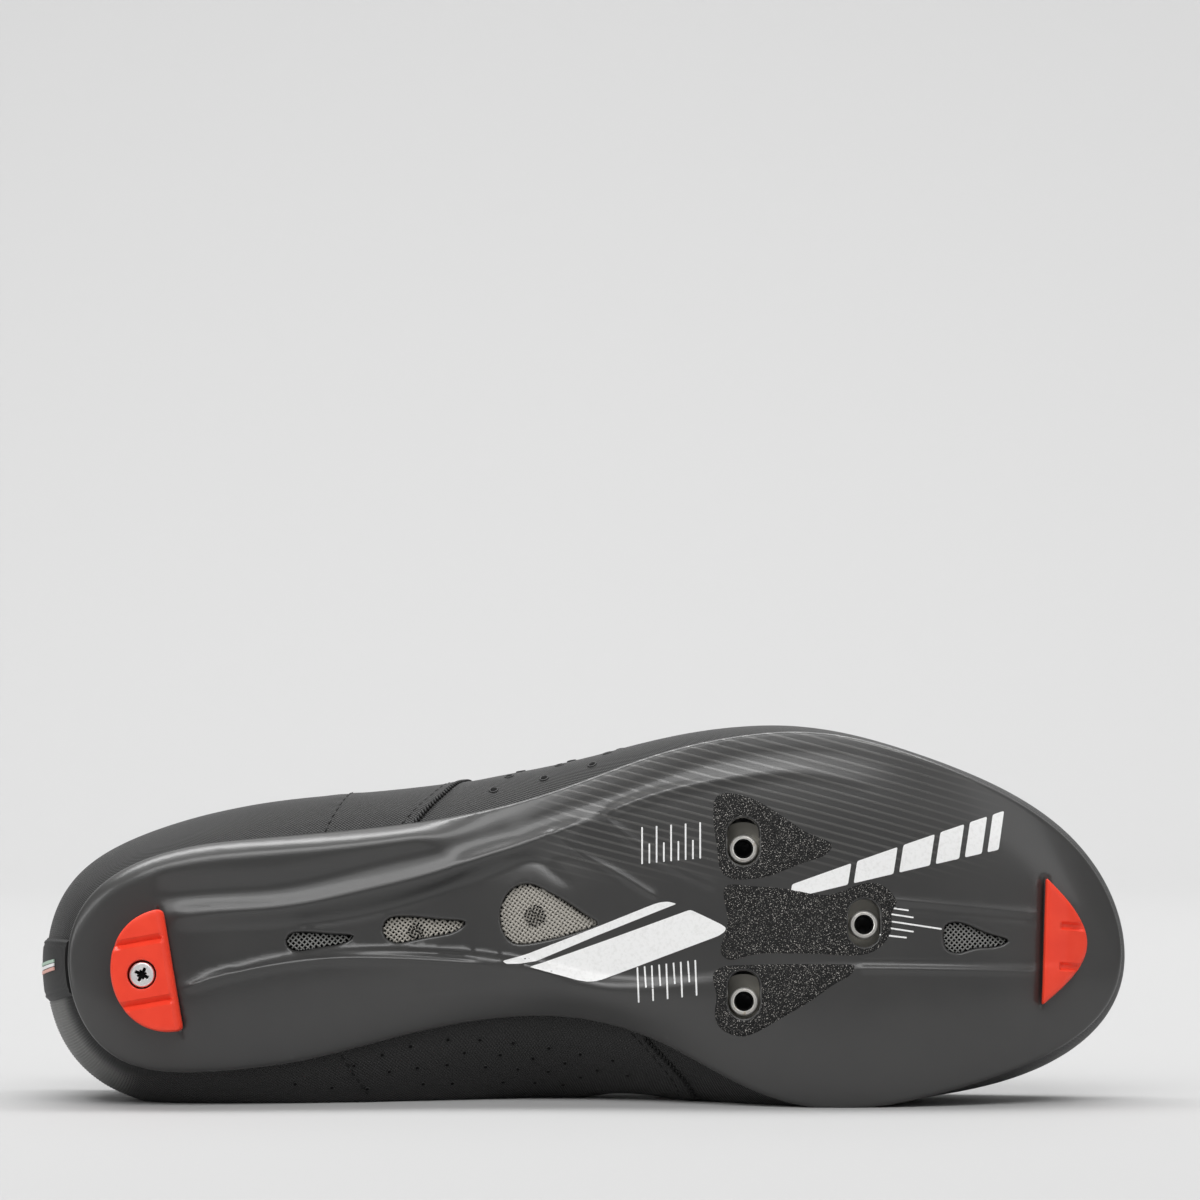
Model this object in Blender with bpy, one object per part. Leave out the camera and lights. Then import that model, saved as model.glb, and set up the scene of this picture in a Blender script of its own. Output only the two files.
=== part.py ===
"""Right-foot road cycling shoe, stored lying on its medial side with the sole towards -Y.

Everything is modelled upright first, in the shoe's own frame: +X from heel to toe, +Y to the medial
side, +Z from the ground up through the sole into the upper. One empty then lays the whole shoe down
and puts the origin at the bottom centre of its bounding box. Lengths are in metres.
"""
import bpy
import math
import numpy as np
from mathutils import Vector, Matrix
from mathutils.geometry import delaunay_2d_cdt

# Driving sizes of the shoe
SOLE_LENGTH = 0.285
BALL_WIDTH = 0.1005
HEEL_WIDTH = 0.0625
INSTEP_HEIGHT = 0.085
COLLAR_HEIGHT = 0.070
LEAN = math.radians(5.5)

# Footbed heights above the ground line, on top of the sole
HEEL_BED = 0.0120
ARCH_BED = 0.0205
BALL_BED = 0.0090
TOE_BED = 0.0270

# Sole plate
SOLE_DEPTH = 0.0078
RIM_THICKNESS = 0.0018
CHANNEL_DEPTH = 0.0026
FLOOR_BITE = 0.0005

# Walls and clearances
GAP = 0.0003
PAD_GAP = 0.0004
WALL = 0.0020
COLLAR_PAD = 0.0030
OVERLAY_STEP = 0.0007
FEATHER_INSET = 0.0006
MARGIN_WIDTH = 0.0100
MARGIN_THICKNESS = 0.0016
INSOLE_THICKNESS = 0.0030
INSOLE_CLEARANCE = 0.0022
TONGUE_THICKNESS = 0.0032
STRAP_THICKNESS = 0.0017
HEEL_STRIP_THICKNESS = 0.0010

# Mesh steps
COLUMNS = 80
LEVELS = 11
OUTLINE_POINTS = 120
PLAN_STEP = 0.0061
CREST_CLEARANCE = 0.0035
SCREEN_STEP = 0.0060
PAD_STEP = 0.0060
BUMPER_STEP = 0.0035
INSOLE_STEP = 0.0120
INSOLE_COLUMNS = 56


def ramp(t, low, high):
    """Smooth step from 0 at low to 1 at high."""
    share = np.clip((np.asarray(t, float) - low) / (high - low), 0.0, 1.0)
    return share * share * (3.0 - 2.0 * share)


class Curve:
    """Natural cubic curve through a short table; with a period it closes on itself."""

    def __init__(self, knots, values, period=None):
        knots = np.asarray(knots, float)
        values = np.asarray(values, float)
        if period is not None:
            knots = np.concatenate([knots - period, knots, knots + period])
            values = np.concatenate([values, values, values])
        self.period = period
        self.knots = knots
        self.values = values
        count = len(knots)
        gap = np.diff(knots)
        matrix = np.eye(count)
        right = np.zeros(count)
        for i in range(1, count - 1):
            matrix[i, i - 1] = gap[i - 1]
            matrix[i, i] = 2.0 * (gap[i - 1] + gap[i])
            matrix[i, i + 1] = gap[i]
            rise = (values[i + 1] - values[i]) / gap[i]
            fall = (values[i] - values[i - 1]) / gap[i - 1]
            right[i] = 6.0 * (rise - fall)
        self.bend = np.linalg.solve(matrix, right)

    def __call__(self, t):
        t = np.asarray(t, float)
        if self.period is not None:
            t = np.mod(t, self.period)
        t = np.clip(t, self.knots[0], self.knots[-1])
        i = np.clip(np.searchsorted(self.knots, t) - 1, 0, len(self.knots) - 2)
        gap = self.knots[i + 1] - self.knots[i]
        a = (self.knots[i + 1] - t) / gap
        b = 1.0 - a
        sag = ((a ** 3 - a) * self.bend[i] + (b ** 3 - b) * self.bend[i + 1]) * gap * gap / 6.0
        return a * self.values[i] + b * self.values[i + 1] + sag


def angle_of(station):
    """Turns a share of the length into the angle that runs round the shoe: 0 heel, pi toe."""
    return math.acos(max(-1.0, min(1.0, 1.0 - 2.0 * station)))


def local_width(station):
    """Reference width: the heel's at the back, the ball's in front, with an even change between."""
    return HEEL_WIDTH + (BALL_WIDTH - HEEL_WIDTH) * ramp(station, 0.15, 0.70)


# Sole outline: share of length, then each side as a share of the reference width there.
# The first and last rows are the heel and toe tips, so their two sides meet.
OUTLINE_ROWS = (
    # station, lateral, medial
    (0.000, -0.038, 0.038),
    (0.020, 0.229, 0.345),
    (0.060, 0.366, 0.490),
    (0.130, 0.457, 0.524),
    (0.220, 0.486, 0.464),
    (0.330, 0.484, 0.304),
    (0.450, 0.507, 0.209),
    (0.550, 0.562, 0.252),
    (0.640, 0.584, 0.371),
    (0.720, 0.578, 0.424),
    (0.800, 0.522, 0.398),
    (0.880, 0.430, 0.333),
    (0.950, 0.298, 0.238),
    (0.985, 0.166, 0.144),
    (1.000, -0.002, 0.002),
)


def loop_curve(rows, lateral, medial):
    """Periodic curve in the angle round the shoe from two columns of a table of stations."""
    knots = [angle_of(row[0]) for row in rows]
    values = [row[lateral] for row in rows]
    for row in reversed(rows[1:-1]):
        knots.append(2.0 * math.pi - angle_of(row[0]))
        values.append(row[medial])
    return Curve(knots, values, period=2.0 * math.pi)


OUTLINE_SIDE = loop_curve([(r[0], -r[1], r[2]) for r in OUTLINE_ROWS], 1, 2)


def outline(angle):
    """Point of the sole's edge in plan, as x and y, at an angle round the shoe."""
    angle = np.asarray(angle, float)
    station = (1.0 - np.cos(angle)) / 2.0
    return station * SOLE_LENGTH, OUTLINE_SIDE(angle) * local_width(station)


def outline_normal(angle):
    """Unit normal of the sole's edge in plan, pointing outwards."""
    step = 1e-3
    x0, y0 = outline(np.asarray(angle) - step)
    x1, y1 = outline(np.asarray(angle) + step)
    along_x, along_y = x1 - x0, y1 - y0
    size = np.hypot(along_x, along_y)
    return along_y / size, -along_x / size


def inset_outline(angle, distance):
    x, y = outline(angle)
    nx, ny = outline_normal(angle)
    return x - nx * distance, y - ny * distance


def half_widths(x):
    """Lateral and medial edge of the sole at x, both as y."""
    station = np.clip(np.asarray(x, float) / SOLE_LENGTH, 0.0, 1.0)
    angle = np.arccos(1.0 - 2.0 * station)
    width = local_width(station)
    return OUTLINE_SIDE(angle) * width, OUTLINE_SIDE(2.0 * math.pi - angle) * width


BED = Curve(
    (0.0, 0.12, 0.28, 0.43, 0.58, 0.72, 0.86, 1.0),
    (HEEL_BED, HEEL_BED, (HEEL_BED + ARCH_BED) / 2, ARCH_BED, (ARCH_BED + BALL_BED) / 2,
     BALL_BED, BALL_BED + (TOE_BED - BALL_BED) * 0.28, TOE_BED),
)


def bed(x):
    """Height of the sole's top face. It only varies along the shoe."""
    return BED(np.asarray(x, float) / SOLE_LENGTH)


# Relief of the sole's underside. The ridges and channel walls are shares of the half width on
# their own side, negative on the lateral side; body is a share of the full sole depth, and
# channel a share of the channel depth.
RELIEF_ROWS = (
    # station, lateral ridge, lateral wall, medial wall, medial ridge, body, channel
    (0.00, -0.45, -0.30, 0.20, 0.35, 0.00, 0.00),
    (0.03, -0.45, -0.30, 0.20, 0.35, 0.42, 0.00),
    (0.09, -0.42, -0.22, 0.18, 0.34, 0.72, 0.00),
    (0.15, -0.43, -0.24, 0.14, 0.24, 0.80, 0.35),
    (0.25, -0.50, -0.26, 0.07, 0.20, 0.95, 0.70),
    (0.35, -0.52, -0.37, 0.06, 0.22, 1.00, 1.00),
    (0.43, -0.68, -0.55, 0.17, 0.36, 1.00, 1.00),
    (0.50, -0.77, -0.48, 0.30, 0.50, 0.98, 0.85),
    (0.56, -0.79, -0.34, 0.26, 0.42, 0.88, 0.55),
    (0.64, -0.80, -0.26, 0.12, 0.22, 0.76, 0.25),
    (0.72, -0.80, -0.24, 0.08, 0.14, 0.70, 0.20),
    (0.80, -0.76, -0.24, 0.08, 0.14, 0.66, 0.20),
    (0.90, -0.70, -0.30, 0.10, 0.18, 0.60, 0.18),
    (0.96, -0.60, -0.30, 0.12, 0.20, 0.42, 0.00),
    (1.00, -0.60, -0.30, 0.12, 0.20, 0.00, 0.00),
)
RELIEF = [Curve([r[0] for r in RELIEF_ROWS], [r[k] for r in RELIEF_ROWS]) for k in range(1, 7)]


def relief_lines(x):
    """y of the four feature lines at x, from the lateral ridge to the medial ridge."""
    station = np.asarray(x, float) / SOLE_LENGTH
    lateral, medial = half_widths(x)
    return [
        -RELIEF[0](station) * lateral,
        -RELIEF[1](station) * lateral,
        RELIEF[2](station) * medial,
        RELIEF[3](station) * medial,
    ]


def sole_thickness(x, y):
    """Depth of the sole under the footbed: a thin rim, full ridges and a sunk channel."""
    x = np.asarray(x, float)
    y = np.asarray(y, float)
    station = x / SOLE_LENGTH
    lateral, medial = half_widths(x)
    ridge_l, wall_l, wall_m, ridge_m = relief_lines(x)
    body = np.clip(RELIEF[4](station), 0.0, 1.0) * (SOLE_DEPTH - RIM_THICKNESS)
    sunk = np.clip(RELIEF[5](station), 0.0, 1.0) * CHANNEL_DEPTH
    tiny = 1e-6
    flank_l = np.clip((y - lateral) / np.maximum(ridge_l - lateral, tiny), 0.0, 1.0)
    flank_m = np.clip((medial - y) / np.maximum(medial - ridge_m, tiny), 0.0, 1.0)
    flank = np.minimum(flank_l, flank_m)
    dome = np.sin(flank * math.pi / 2.0) ** 0.8
    inside = ramp(y, ridge_l, np.maximum(wall_l, ridge_l + tiny))
    inside = inside * (1.0 - ramp(y, wall_m, np.maximum(ridge_m, wall_m + tiny)))
    return RIM_THICKNESS + body * dome - sunk * inside


def underside(x, y):
    """Height of the sole's bottom face."""
    return bed(x) - sole_thickness(x, y)


# The floor that the lying shoe rests on, as a plane in the shoe's own frame:
# y * cos(LEAN) + z * sin(LEAN) never passes FLOOR.
_angles = np.linspace(math.pi, 2.0 * math.pi, 400)
_edge_x, _edge_y = outline(_angles)
FLOOR = float(np.max(_edge_y * math.cos(LEAN) + bed(_edge_x) * math.sin(LEAN))) - FLOOR_BITE


def settle(points):
    """Presses points that would pass through the floor flat onto it."""
    normal = np.array([0.0, math.cos(LEAN), math.sin(LEAN)])
    over = np.maximum(points @ normal - FLOOR, 0.0)
    return points - over[..., None] * normal


# Upper, one row for each path from the sole's edge to the topline, for each side. The top point is
# given by its share of the length, its side as a share of the ball width and its height as a share
# of the local height; swell and rise lead the wall away from the sole, spread and drop lead it into
# the topline, all four as shares of the instep height.
UPPER_LATERAL = (
    # station, top station, top side, top height, swell, rise, spread, drop
    (0.000, 0.012, 0.010, 1.000, 0.170, 0.210, 0.140, 0.260),
    (0.030, 0.018, -0.130, 0.990, 0.172, 0.200, 0.140, 0.250),
    (0.100, 0.070, -0.235, 0.900, 0.186, 0.180, 0.140, 0.220),
    (0.200, 0.170, -0.275, 0.780, 0.272, 0.160, 0.140, 0.180),
    (0.300, 0.275, -0.270, 0.800, 0.292, 0.160, 0.170, 0.180),
    (0.380, 0.350, -0.235, 0.890, 0.291, 0.180, 0.240, 0.180),
    (0.440, 0.400, -0.195, 0.970, 0.286, 0.200, 0.300, 0.160),
    (0.520, 0.465, -0.165, 0.960, 0.233, 0.230, 0.330, 0.130),
    (0.620, 0.540, -0.145, 0.890, 0.207, 0.250, 0.360, 0.110),
    (0.740, 0.610, -0.130, 0.810, 0.153, 0.270, 0.430, 0.100),
    (0.880, 0.648, -0.100, 0.760, 0.178, 0.300, 0.520, 0.110),
    (1.000, 0.660, -0.040, 0.745, 0.170, 0.340, 0.720, 0.130),
)
UPPER_MEDIAL = (
    (0.030, 0.018, 0.150, 0.990, 0.180, 0.200, 0.140, 0.250),
    (0.100, 0.070, 0.250, 0.910, 0.210, 0.180, 0.150, 0.220),
    (0.200, 0.170, 0.290, 0.800, 0.280, 0.160, 0.160, 0.190),
    (0.300, 0.275, 0.275, 0.820, 0.390, 0.150, 0.180, 0.180),
    (0.380, 0.350, 0.235, 0.900, 0.440, 0.160, 0.230, 0.180),
    (0.440, 0.400, 0.185, 0.970, 0.440, 0.170, 0.280, 0.160),
    (0.520, 0.465, 0.130, 0.960, 0.390, 0.190, 0.320, 0.130),
    (0.620, 0.540, 0.090, 0.890, 0.190, 0.220, 0.350, 0.110),
    (0.740, 0.610, 0.060, 0.810, 0.030, 0.260, 0.420, 0.100),
    (0.880, 0.648, 0.020, 0.760, 0.095, 0.300, 0.510, 0.110),
)


def upper_curve(column):
    knots = [angle_of(row[0]) for row in UPPER_LATERAL]
    values = [row[column] for row in UPPER_LATERAL]
    for row in reversed(UPPER_MEDIAL):
        knots.append(2.0 * math.pi - angle_of(row[0]))
        values.append(row[column])
    return Curve(knots, values, period=2.0 * math.pi)


TOP_STATION, TOP_SIDE, TOP_HEIGHT, SWELL, RISE, SPREAD, DROP = [upper_curve(k) for k in range(1, 8)]


def local_height(station):
    """Reference height: the collar's at the heel, the instep's from the middle on."""
    return COLLAR_HEIGHT + (INSTEP_HEIGHT - COLLAR_HEIGHT) * ramp(station, 0.12, 0.42)


def shell(angle, level):
    """Outer face of the plain upper, from level 0 at the sole's edge to 1 at the topline."""
    angle = np.asarray(angle, float)
    level = np.asarray(level, float)
    station = (1.0 - np.cos(angle)) / 2.0
    nx, ny = outline_normal(angle)
    foot_x, foot_y = inset_outline(angle, FEATHER_INSET)
    foot = np.stack([foot_x, foot_y, bed(foot_x) + GAP], -1)
    top = np.stack([
        TOP_STATION(angle) * SOLE_LENGTH,
        TOP_SIDE(angle) * BALL_WIDTH,
        TOP_HEIGHT(angle) * local_height(station),
    ], -1)
    out = np.stack([nx, ny, np.zeros_like(nx)], -1)
    up = np.array([0.0, 0.0, 1.0])
    swell = (SWELL(angle) * INSTEP_HEIGHT)[..., None]
    rise = (RISE(angle) * INSTEP_HEIGHT)[..., None]
    spread = (SPREAD(angle) * INSTEP_HEIGHT)[..., None]
    drop = (DROP(angle) * INSTEP_HEIGHT)[..., None]
    near = foot + out * swell + up * rise
    far = top + out * spread - up * drop
    t = level[..., None]
    s = 1.0 - t
    points = s ** 3 * foot + 3 * s * s * t * near + 3 * s * t * t * far + t ** 3 * top
    return settle(points)


def grid_normals(points, closed):
    """Unit normals of a grid of points, from its own rows and columns; rows run round the shoe."""
    if closed:
        along = np.roll(points, -1, 0) - np.roll(points, 1, 0)
    else:
        along = np.gradient(points, axis=0)
    across = np.gradient(points, axis=1)
    normal = np.cross(along, across)
    return normal / np.linalg.norm(normal, axis=-1, keepdims=True)


def mesh_object(name, points, faces, colour, roughness, metallic=0.0, smooth_below=40.0):
    """A named object from points and faces, with its own material."""
    mesh = bpy.data.meshes.new(name)
    mesh.from_pydata([tuple(p) for p in points], [], faces)
    mesh.update()
    mesh.shade_smooth()
    mesh.set_sharp_from_angle(angle=math.radians(smooth_below))
    material = bpy.data.materials.new(name)
    material.use_nodes = True
    shader = material.node_tree.nodes["Principled BSDF"]
    shader.inputs["Base Color"].default_value = (*colour, 1.0)
    shader.inputs["Roughness"].default_value = roughness
    shader.inputs["Metallic"].default_value = metallic
    mesh.materials.append(material)
    item = bpy.data.objects.new(name, mesh)
    bpy.context.scene.collection.objects.link(item)
    return item


def ring_faces(columns, count):
    """Quads of a closed band whose cross-section is itself a closed loop of count points."""
    faces = []
    for i in range(columns):
        j = (i + 1) % columns
        for k in range(count):
            m = (k + 1) % count
            faces.append((i * count + k, j * count + k, j * count + m, i * count + m))
    return faces


def sheet_faces(rows, columns):
    """Quads of a closed slab made of a lower and an upper grid, rows by columns points each."""
    def at(layer, i, j):
        return layer * rows * columns + i * columns + j

    faces = []
    for i in range(rows - 1):
        for j in range(columns - 1):
            faces.append((at(0, i, j), at(0, i, j + 1), at(0, i + 1, j + 1), at(0, i + 1, j)))
            faces.append((at(1, i, j), at(1, i + 1, j), at(1, i + 1, j + 1), at(1, i, j + 1)))
    for i in range(rows - 1):
        faces.append((at(0, i, 0), at(0, i + 1, 0), at(1, i + 1, 0), at(1, i, 0)))
        end = columns - 1
        faces.append((at(0, i, end), at(1, i, end), at(1, i + 1, end), at(0, i + 1, end)))
    for j in range(columns - 1):
        faces.append((at(0, 0, j), at(1, 0, j), at(1, 0, j + 1), at(0, 0, j + 1)))
        end = rows - 1
        faces.append((at(0, end, j), at(0, end, j + 1), at(1, end, j + 1), at(1, end, j)))
    return faces


def slab(name, rows, low, high, colour, roughness):
    """A sheet of even thickness between two offsets from a grid of rows that run across the top."""
    normal = grid_normals(rows, closed=False)
    if normal[normal.shape[0] // 2, normal.shape[1] // 2, 2] < 0:
        rows = rows[:, ::-1]
        normal = -normal[:, ::-1]
    stack = np.concatenate([(rows + normal * low).reshape(-1, 3), (rows + normal * high).reshape(-1, 3)])
    return mesh_object(name, stack, sheet_faces(*rows.shape[:2]), colour, roughness)


def inside_polygon(points, polygon):
    """Even-odd test of many plan points against one polygon."""
    x, y = points[:, 0], points[:, 1]
    result = np.zeros(len(points), bool)
    count = len(polygon)
    for i in range(count):
        x0, y0 = polygon[i]
        x1, y1 = polygon[(i + 1) % count]
        crosses = (y0 > y) != (y1 > y)
        if y1 != y0:
            result ^= crosses & (x < (x1 - x0) * (y - y0) / (y1 - y0) + x0)
    return result


def plan_mesh(name, border, holes, lines, step, top, bottom, colour, roughness):
    """A plate cut from a plan outline, with holes through it and curved top and bottom faces."""
    points = []
    edges = []
    for loop in [border, *holes]:
        first = len(points)
        points.extend(loop)
        edges.extend((first + i, first + (i + 1) % len(loop)) for i in range(len(loop)))
    for line in lines:
        first = len(points)
        points.extend(line)
        edges.extend((first + i, first + i + 1) for i in range(len(line) - 1))
    fixed = np.array(points)
    low, high = fixed.min(0), fixed.max(0)
    xs = np.arange(low[0] + step / 2, high[0], step)
    ys = np.arange(low[1] + step / 2, high[1], step)
    grid = np.array([(x, y) for x in xs for y in ys])
    near = np.array([np.min(np.hypot(*(fixed - p).T)) for p in grid]) if len(grid) else grid
    if len(grid):
        keep = inside_polygon(grid, border) & (near > step * 0.45)
        for hole in holes:
            keep &= ~inside_polygon(grid, hole)
        points.extend(map(tuple, grid[keep]))
    flat, _, faces, *_ = delaunay_2d_cdt([Vector(p) for p in points], edges, [], 0, 1e-7)
    flat = np.array([tuple(p) for p in flat])
    faces = [f for f in faces if len(f) == 3]
    middle = np.array([flat[list(f)].mean(0) for f in faces])
    keep = inside_polygon(middle, border)
    for hole in holes:
        keep &= ~inside_polygon(middle, hole)
    faces = [f for f, wanted in zip(faces, keep) if wanted]
    used = sorted({i for f in faces for i in f})
    place = {old: new for new, old in enumerate(used)}
    flat = flat[used]
    faces = [tuple(place[i] for i in f) for f in faces]
    count = len(flat)
    upper = np.column_stack([flat, top(flat[:, 0], flat[:, 1])])
    lower = np.column_stack([flat, bottom(flat[:, 0], flat[:, 1])])
    made = []
    seen = {}
    for f in faces:
        a, b, c = (flat[i] for i in f)
        turn = (b[0] - a[0]) * (c[1] - a[1]) - (b[1] - a[1]) * (c[0] - a[0])
        f = f if turn > 0 else f[::-1]
        made.append(f)
        made.append(tuple(i + count for i in reversed(f)))
        for i in range(3):
            seen[(f[i], f[(i + 1) % 3])] = True
    for a, b in seen:
        if (b, a) not in seen:
            made.append((b, a, a + count, b + count))
    stack = np.concatenate([upper, lower])
    return mesh_object(name, stack, made, colour, roughness)


# Openings of the sole in plan, as outlines about their own middle. Lengths along the shoe are shares
# of the vent's length and sideways ones shares of its width.
VENT_BLUNT = ((-0.50, -0.10), (-0.44, -0.40), (-0.30, -0.50), (0.00, -0.46), (0.30, -0.38),
              (0.50, -0.24), (0.44, -0.06), (0.16, 0.24), (-0.16, 0.44), (-0.38, 0.50), (-0.48, 0.26))
VENT_WIDE = ((-0.50, 0.00), (-0.45, -0.28), (-0.34, -0.46), (-0.18, -0.50), (-0.04, -0.40),
             (0.22, -0.16), (0.44, 0.08), (0.50, 0.15), (0.40, 0.24), (0.10, 0.38), (-0.20, 0.48),
             (-0.38, 0.46), (-0.47, 0.28))
VENT_TOE = ((-0.50, 0.00), (-0.46, -0.42), (-0.36, -0.50), (0.02, -0.28), (0.36, -0.04),
            (0.50, 0.08), (0.38, 0.24), (-0.04, 0.36), (-0.36, 0.50), (-0.47, 0.34))
VENTS = (
    # name, outline, share of length, side as a share of the ball width, length, width
    ("vent_screen_rear", VENT_BLUNT, 0.238, -0.022, 0.0180, 0.0050),
    ("vent_screen_middle", VENT_BLUNT, 0.336, -0.056, 0.0222, 0.0070),
    ("vent_screen_arch", VENT_WIDE, 0.454, -0.098, 0.0265, 0.0164),
    ("vent_screen_toe", VENT_TOE, 0.857, -0.032, 0.0178, 0.0082),
)
SCREEN_DEPTH = 0.0016
SCREEN_THICKNESS = 0.0007


def vent_outline(vent, shrink=0.0):
    _, shape, station, side, length, width = vent
    x, y = station * SOLE_LENGTH, side * BALL_WIDTH
    return [(x + px * (length - 2 * shrink), y + py * (width - 2 * shrink)) for px, py in shape]


# Cleat fixing: three threaded nuts in cross slots
CLEAT_STATION = 0.6375
CLEAT_SIDE = -0.065
CLEAT_REACH = 0.0322
CLEAT_SPREAD = 0.0409
SLOT_WIDTH = 0.0086
SLOT_LENGTH = 0.0130
NUT_RADIUS = 0.0038
NUT_BORE_RADIUS = 0.0022
NUT_FLANGE_RADIUS = 0.0075
NUT_FLANGE_THICKNESS = 0.0011
NUT_RECESS = 0.0016
NUT_LIFT = 0.0005
NUT_SIDES = 20
NUTS = (
    # name, along, across, how far the nut sits from the slot's middle towards the medial side
    ("cleat_nut_lateral", 0.0, -0.5, 0.0020),
    ("cleat_nut_medial", 0.0, 0.5, 0.0018),
    ("cleat_nut_front", 1.0, 0.0, 0.0004),
)


def nut_place(nut):
    _, along, across, shift = nut
    x = CLEAT_STATION * SOLE_LENGTH + along * CLEAT_REACH
    y = CLEAT_SIDE * BALL_WIDTH + across * CLEAT_SPREAD
    return x, y, shift


def slot_outline(nut, steps=6):
    """Round-ended slot across the shoe."""
    x, y, shift = nut_place(nut)
    y -= shift
    radius = SLOT_WIDTH / 2
    reach = SLOT_LENGTH / 2 - radius
    loop = []
    for end in (1, -1):
        for k in range(steps + 1):
            a = math.pi * k / steps + (0 if end == 1 else math.pi)
            loop.append((x + radius * math.cos(a), y + end * reach + radius * math.sin(a)))
    return loop


def circle(x, y, radius, count):
    return [(x + radius * math.cos(2 * math.pi * k / count),
             y + radius * math.sin(2 * math.pi * k / count)) for k in range(count)]


# Heel pad and toe bumper: D-shaped in plan, with a nearly straight edge towards the arch
D_CORNER = 0.04
PAD_STATION = 0.0745
PAD_SIDE = 0.102
PAD_WIDTH = 0.0330
PAD_DEPTH = 0.0165
PAD_TURN = math.radians(-10.0)
PAD_HEIGHT = 0.0052
PAD_GROOVE = 0.0013
PAD_GROOVE_SHARE = 0.25
PAD_GROOVE_WIDTH = 0.0026
GROOVE_CLEARANCE = 0.0008
SCREW_RADIUS = 0.0034
SCREW_SHANK_RADIUS = 0.0017
SCREW_HEAD_THICKNESS = 0.0016
SCREW_SINK = 0.0009
SCREW_STEM = 0.0004
SCREW_BACK = 0.0010
SCREW_SHIFT = 0.0006
SCREW_SIDES = 14
BUMPER_STATION = 0.9475
BUMPER_SIDE = -0.018
BUMPER_WIDTH = 0.0335
BUMPER_DEPTH = 0.0122
BUMPER_TURN = math.radians(2.4)
BUMPER_HEIGHT = 0.0030


def d_outline(x, y, width, depth, turn, facing, steps=16):
    """D shape: a chord of the given width and a flat arc on the side that facing points to."""
    loop = []
    for k in range(steps + 1):
        a = math.pi * k / steps
        across = -math.cos(a) * width / 2
        along = facing * math.sin(a) ** 0.85 * depth
        loop.append((across, along))
    loop = [(px * (1 - D_CORNER * (k in (0, steps))), py) for k, (px, py) in enumerate(loop)]
    result = []
    for across, along in loop:
        along -= facing * depth / 2
        px = along * math.cos(turn) - across * math.sin(turn)
        py = along * math.sin(turn) + across * math.cos(turn)
        result.append((x + px, y + py))
    return result


PAD_X = PAD_STATION * SOLE_LENGTH
PAD_Y = PAD_SIDE * HEEL_WIDTH
SCREW_X = PAD_X - SCREW_BACK
SCREW_Y = PAD_Y + SCREW_SHIFT
BUMPER_X = BUMPER_STATION * SOLE_LENGTH
BUMPER_Y = BUMPER_SIDE * BALL_WIDTH


def build_outsole():
    border = list(zip(*outline(np.arange(OUTLINE_POINTS) * 2 * math.pi / OUTLINE_POINTS)))
    holes = [vent_outline(v) for v in VENTS]
    holes += [slot_outline(n) for n in NUTS]
    holes.append(circle(SCREW_X, SCREW_Y, SCREW_SHANK_RADIUS + GAP, 10))
    lines = []
    stations = np.linspace(0.16, 0.92, 28) * SOLE_LENGTH
    for which in (0, 3):
        line = [(x, float(relief_lines(x)[which])) for x in stations]
        lines.append([p for p in line if clear_of(p, holes, CREST_CLEARANCE)])
    for loop in (pad_outline(), bumper_outline()):
        lines.append([*loop, loop[0]])
    item = plan_mesh("outsole", border, holes, lines, PLAN_STEP, lambda x, y: bed(x), underside,
                     (0.030, 0.030, 0.031), 0.38)
    for vertex in item.data.vertices:
        vertex.co = Vector(settle(np.array(vertex.co)))
    return item


def clear_of(point, holes, distance):
    return all(min(math.hypot(point[0] - x, point[1] - y) for x, y in hole) > distance
               for hole in holes)


def build_screens():
    for vent in VENTS:
        plan_mesh(vent[0], vent_outline(vent, GAP), [], [], SCREEN_STEP,
                  lambda x, y: underside(x, y) + SCREEN_DEPTH + SCREEN_THICKNESS,
                  lambda x, y: underside(x, y) + SCREEN_DEPTH, (0.45, 0.45, 0.42), 0.6)


def bed_slope(x):
    return float(bed(x + 0.001) - bed(x - 0.001)) / 0.002


def build_nuts():
    """Each nut follows the slope of the footbed: its flange above the sole, its barrel in the slot."""
    for nut in NUTS:
        x, y, _ = nut_place(nut)
        face = float(underside(x, y)) + NUT_RECESS
        seat = float(bed(x)) + NUT_LIFT
        top = seat + NUT_FLANGE_THICKNESS
        profile = ((NUT_BORE_RADIUS, face), (NUT_RADIUS, face), (NUT_RADIUS, seat),
                   (NUT_FLANGE_RADIUS, seat), (NUT_FLANGE_RADIUS, top), (NUT_BORE_RADIUS, top))
        turned(nut[0], x, y, profile, NUT_SIDES, (0.55, 0.54, 0.50), 0.3, 1.0, bed_slope(x))


def turned(name, x, y, profile, count, colour, roughness, metallic, slope):
    """A ring turned about a vertical axis from a closed profile of radius and height, then sloped."""
    points = []
    for k in range(count):
        a = 2 * math.pi * k / count
        dx, dy = math.cos(a), math.sin(a)
        points.extend((x + r * dx, y + r * dy, z + r * dx * slope) for r, z in profile)
    faces = ring_faces(count, len(profile))
    return mesh_object(name, points, faces, colour, roughness, metallic)


def pad_floor(x, y):
    """Outer face of the heel pad: level, with two grooves across it beside the screw."""
    level = float(underside(PAD_X, PAD_Y)) - PAD_HEIGHT
    across = -(x - PAD_X) * math.sin(PAD_TURN) + (y - PAD_Y) * math.cos(PAD_TURN)
    off = np.abs(np.abs(across) - PAD_WIDTH * PAD_GROOVE_SHARE)
    groove = PAD_GROOVE * (1.0 - ramp(off, PAD_GROOVE_WIDTH * 0.25, PAD_GROOVE_WIDTH * 0.55))
    return level + groove


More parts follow.
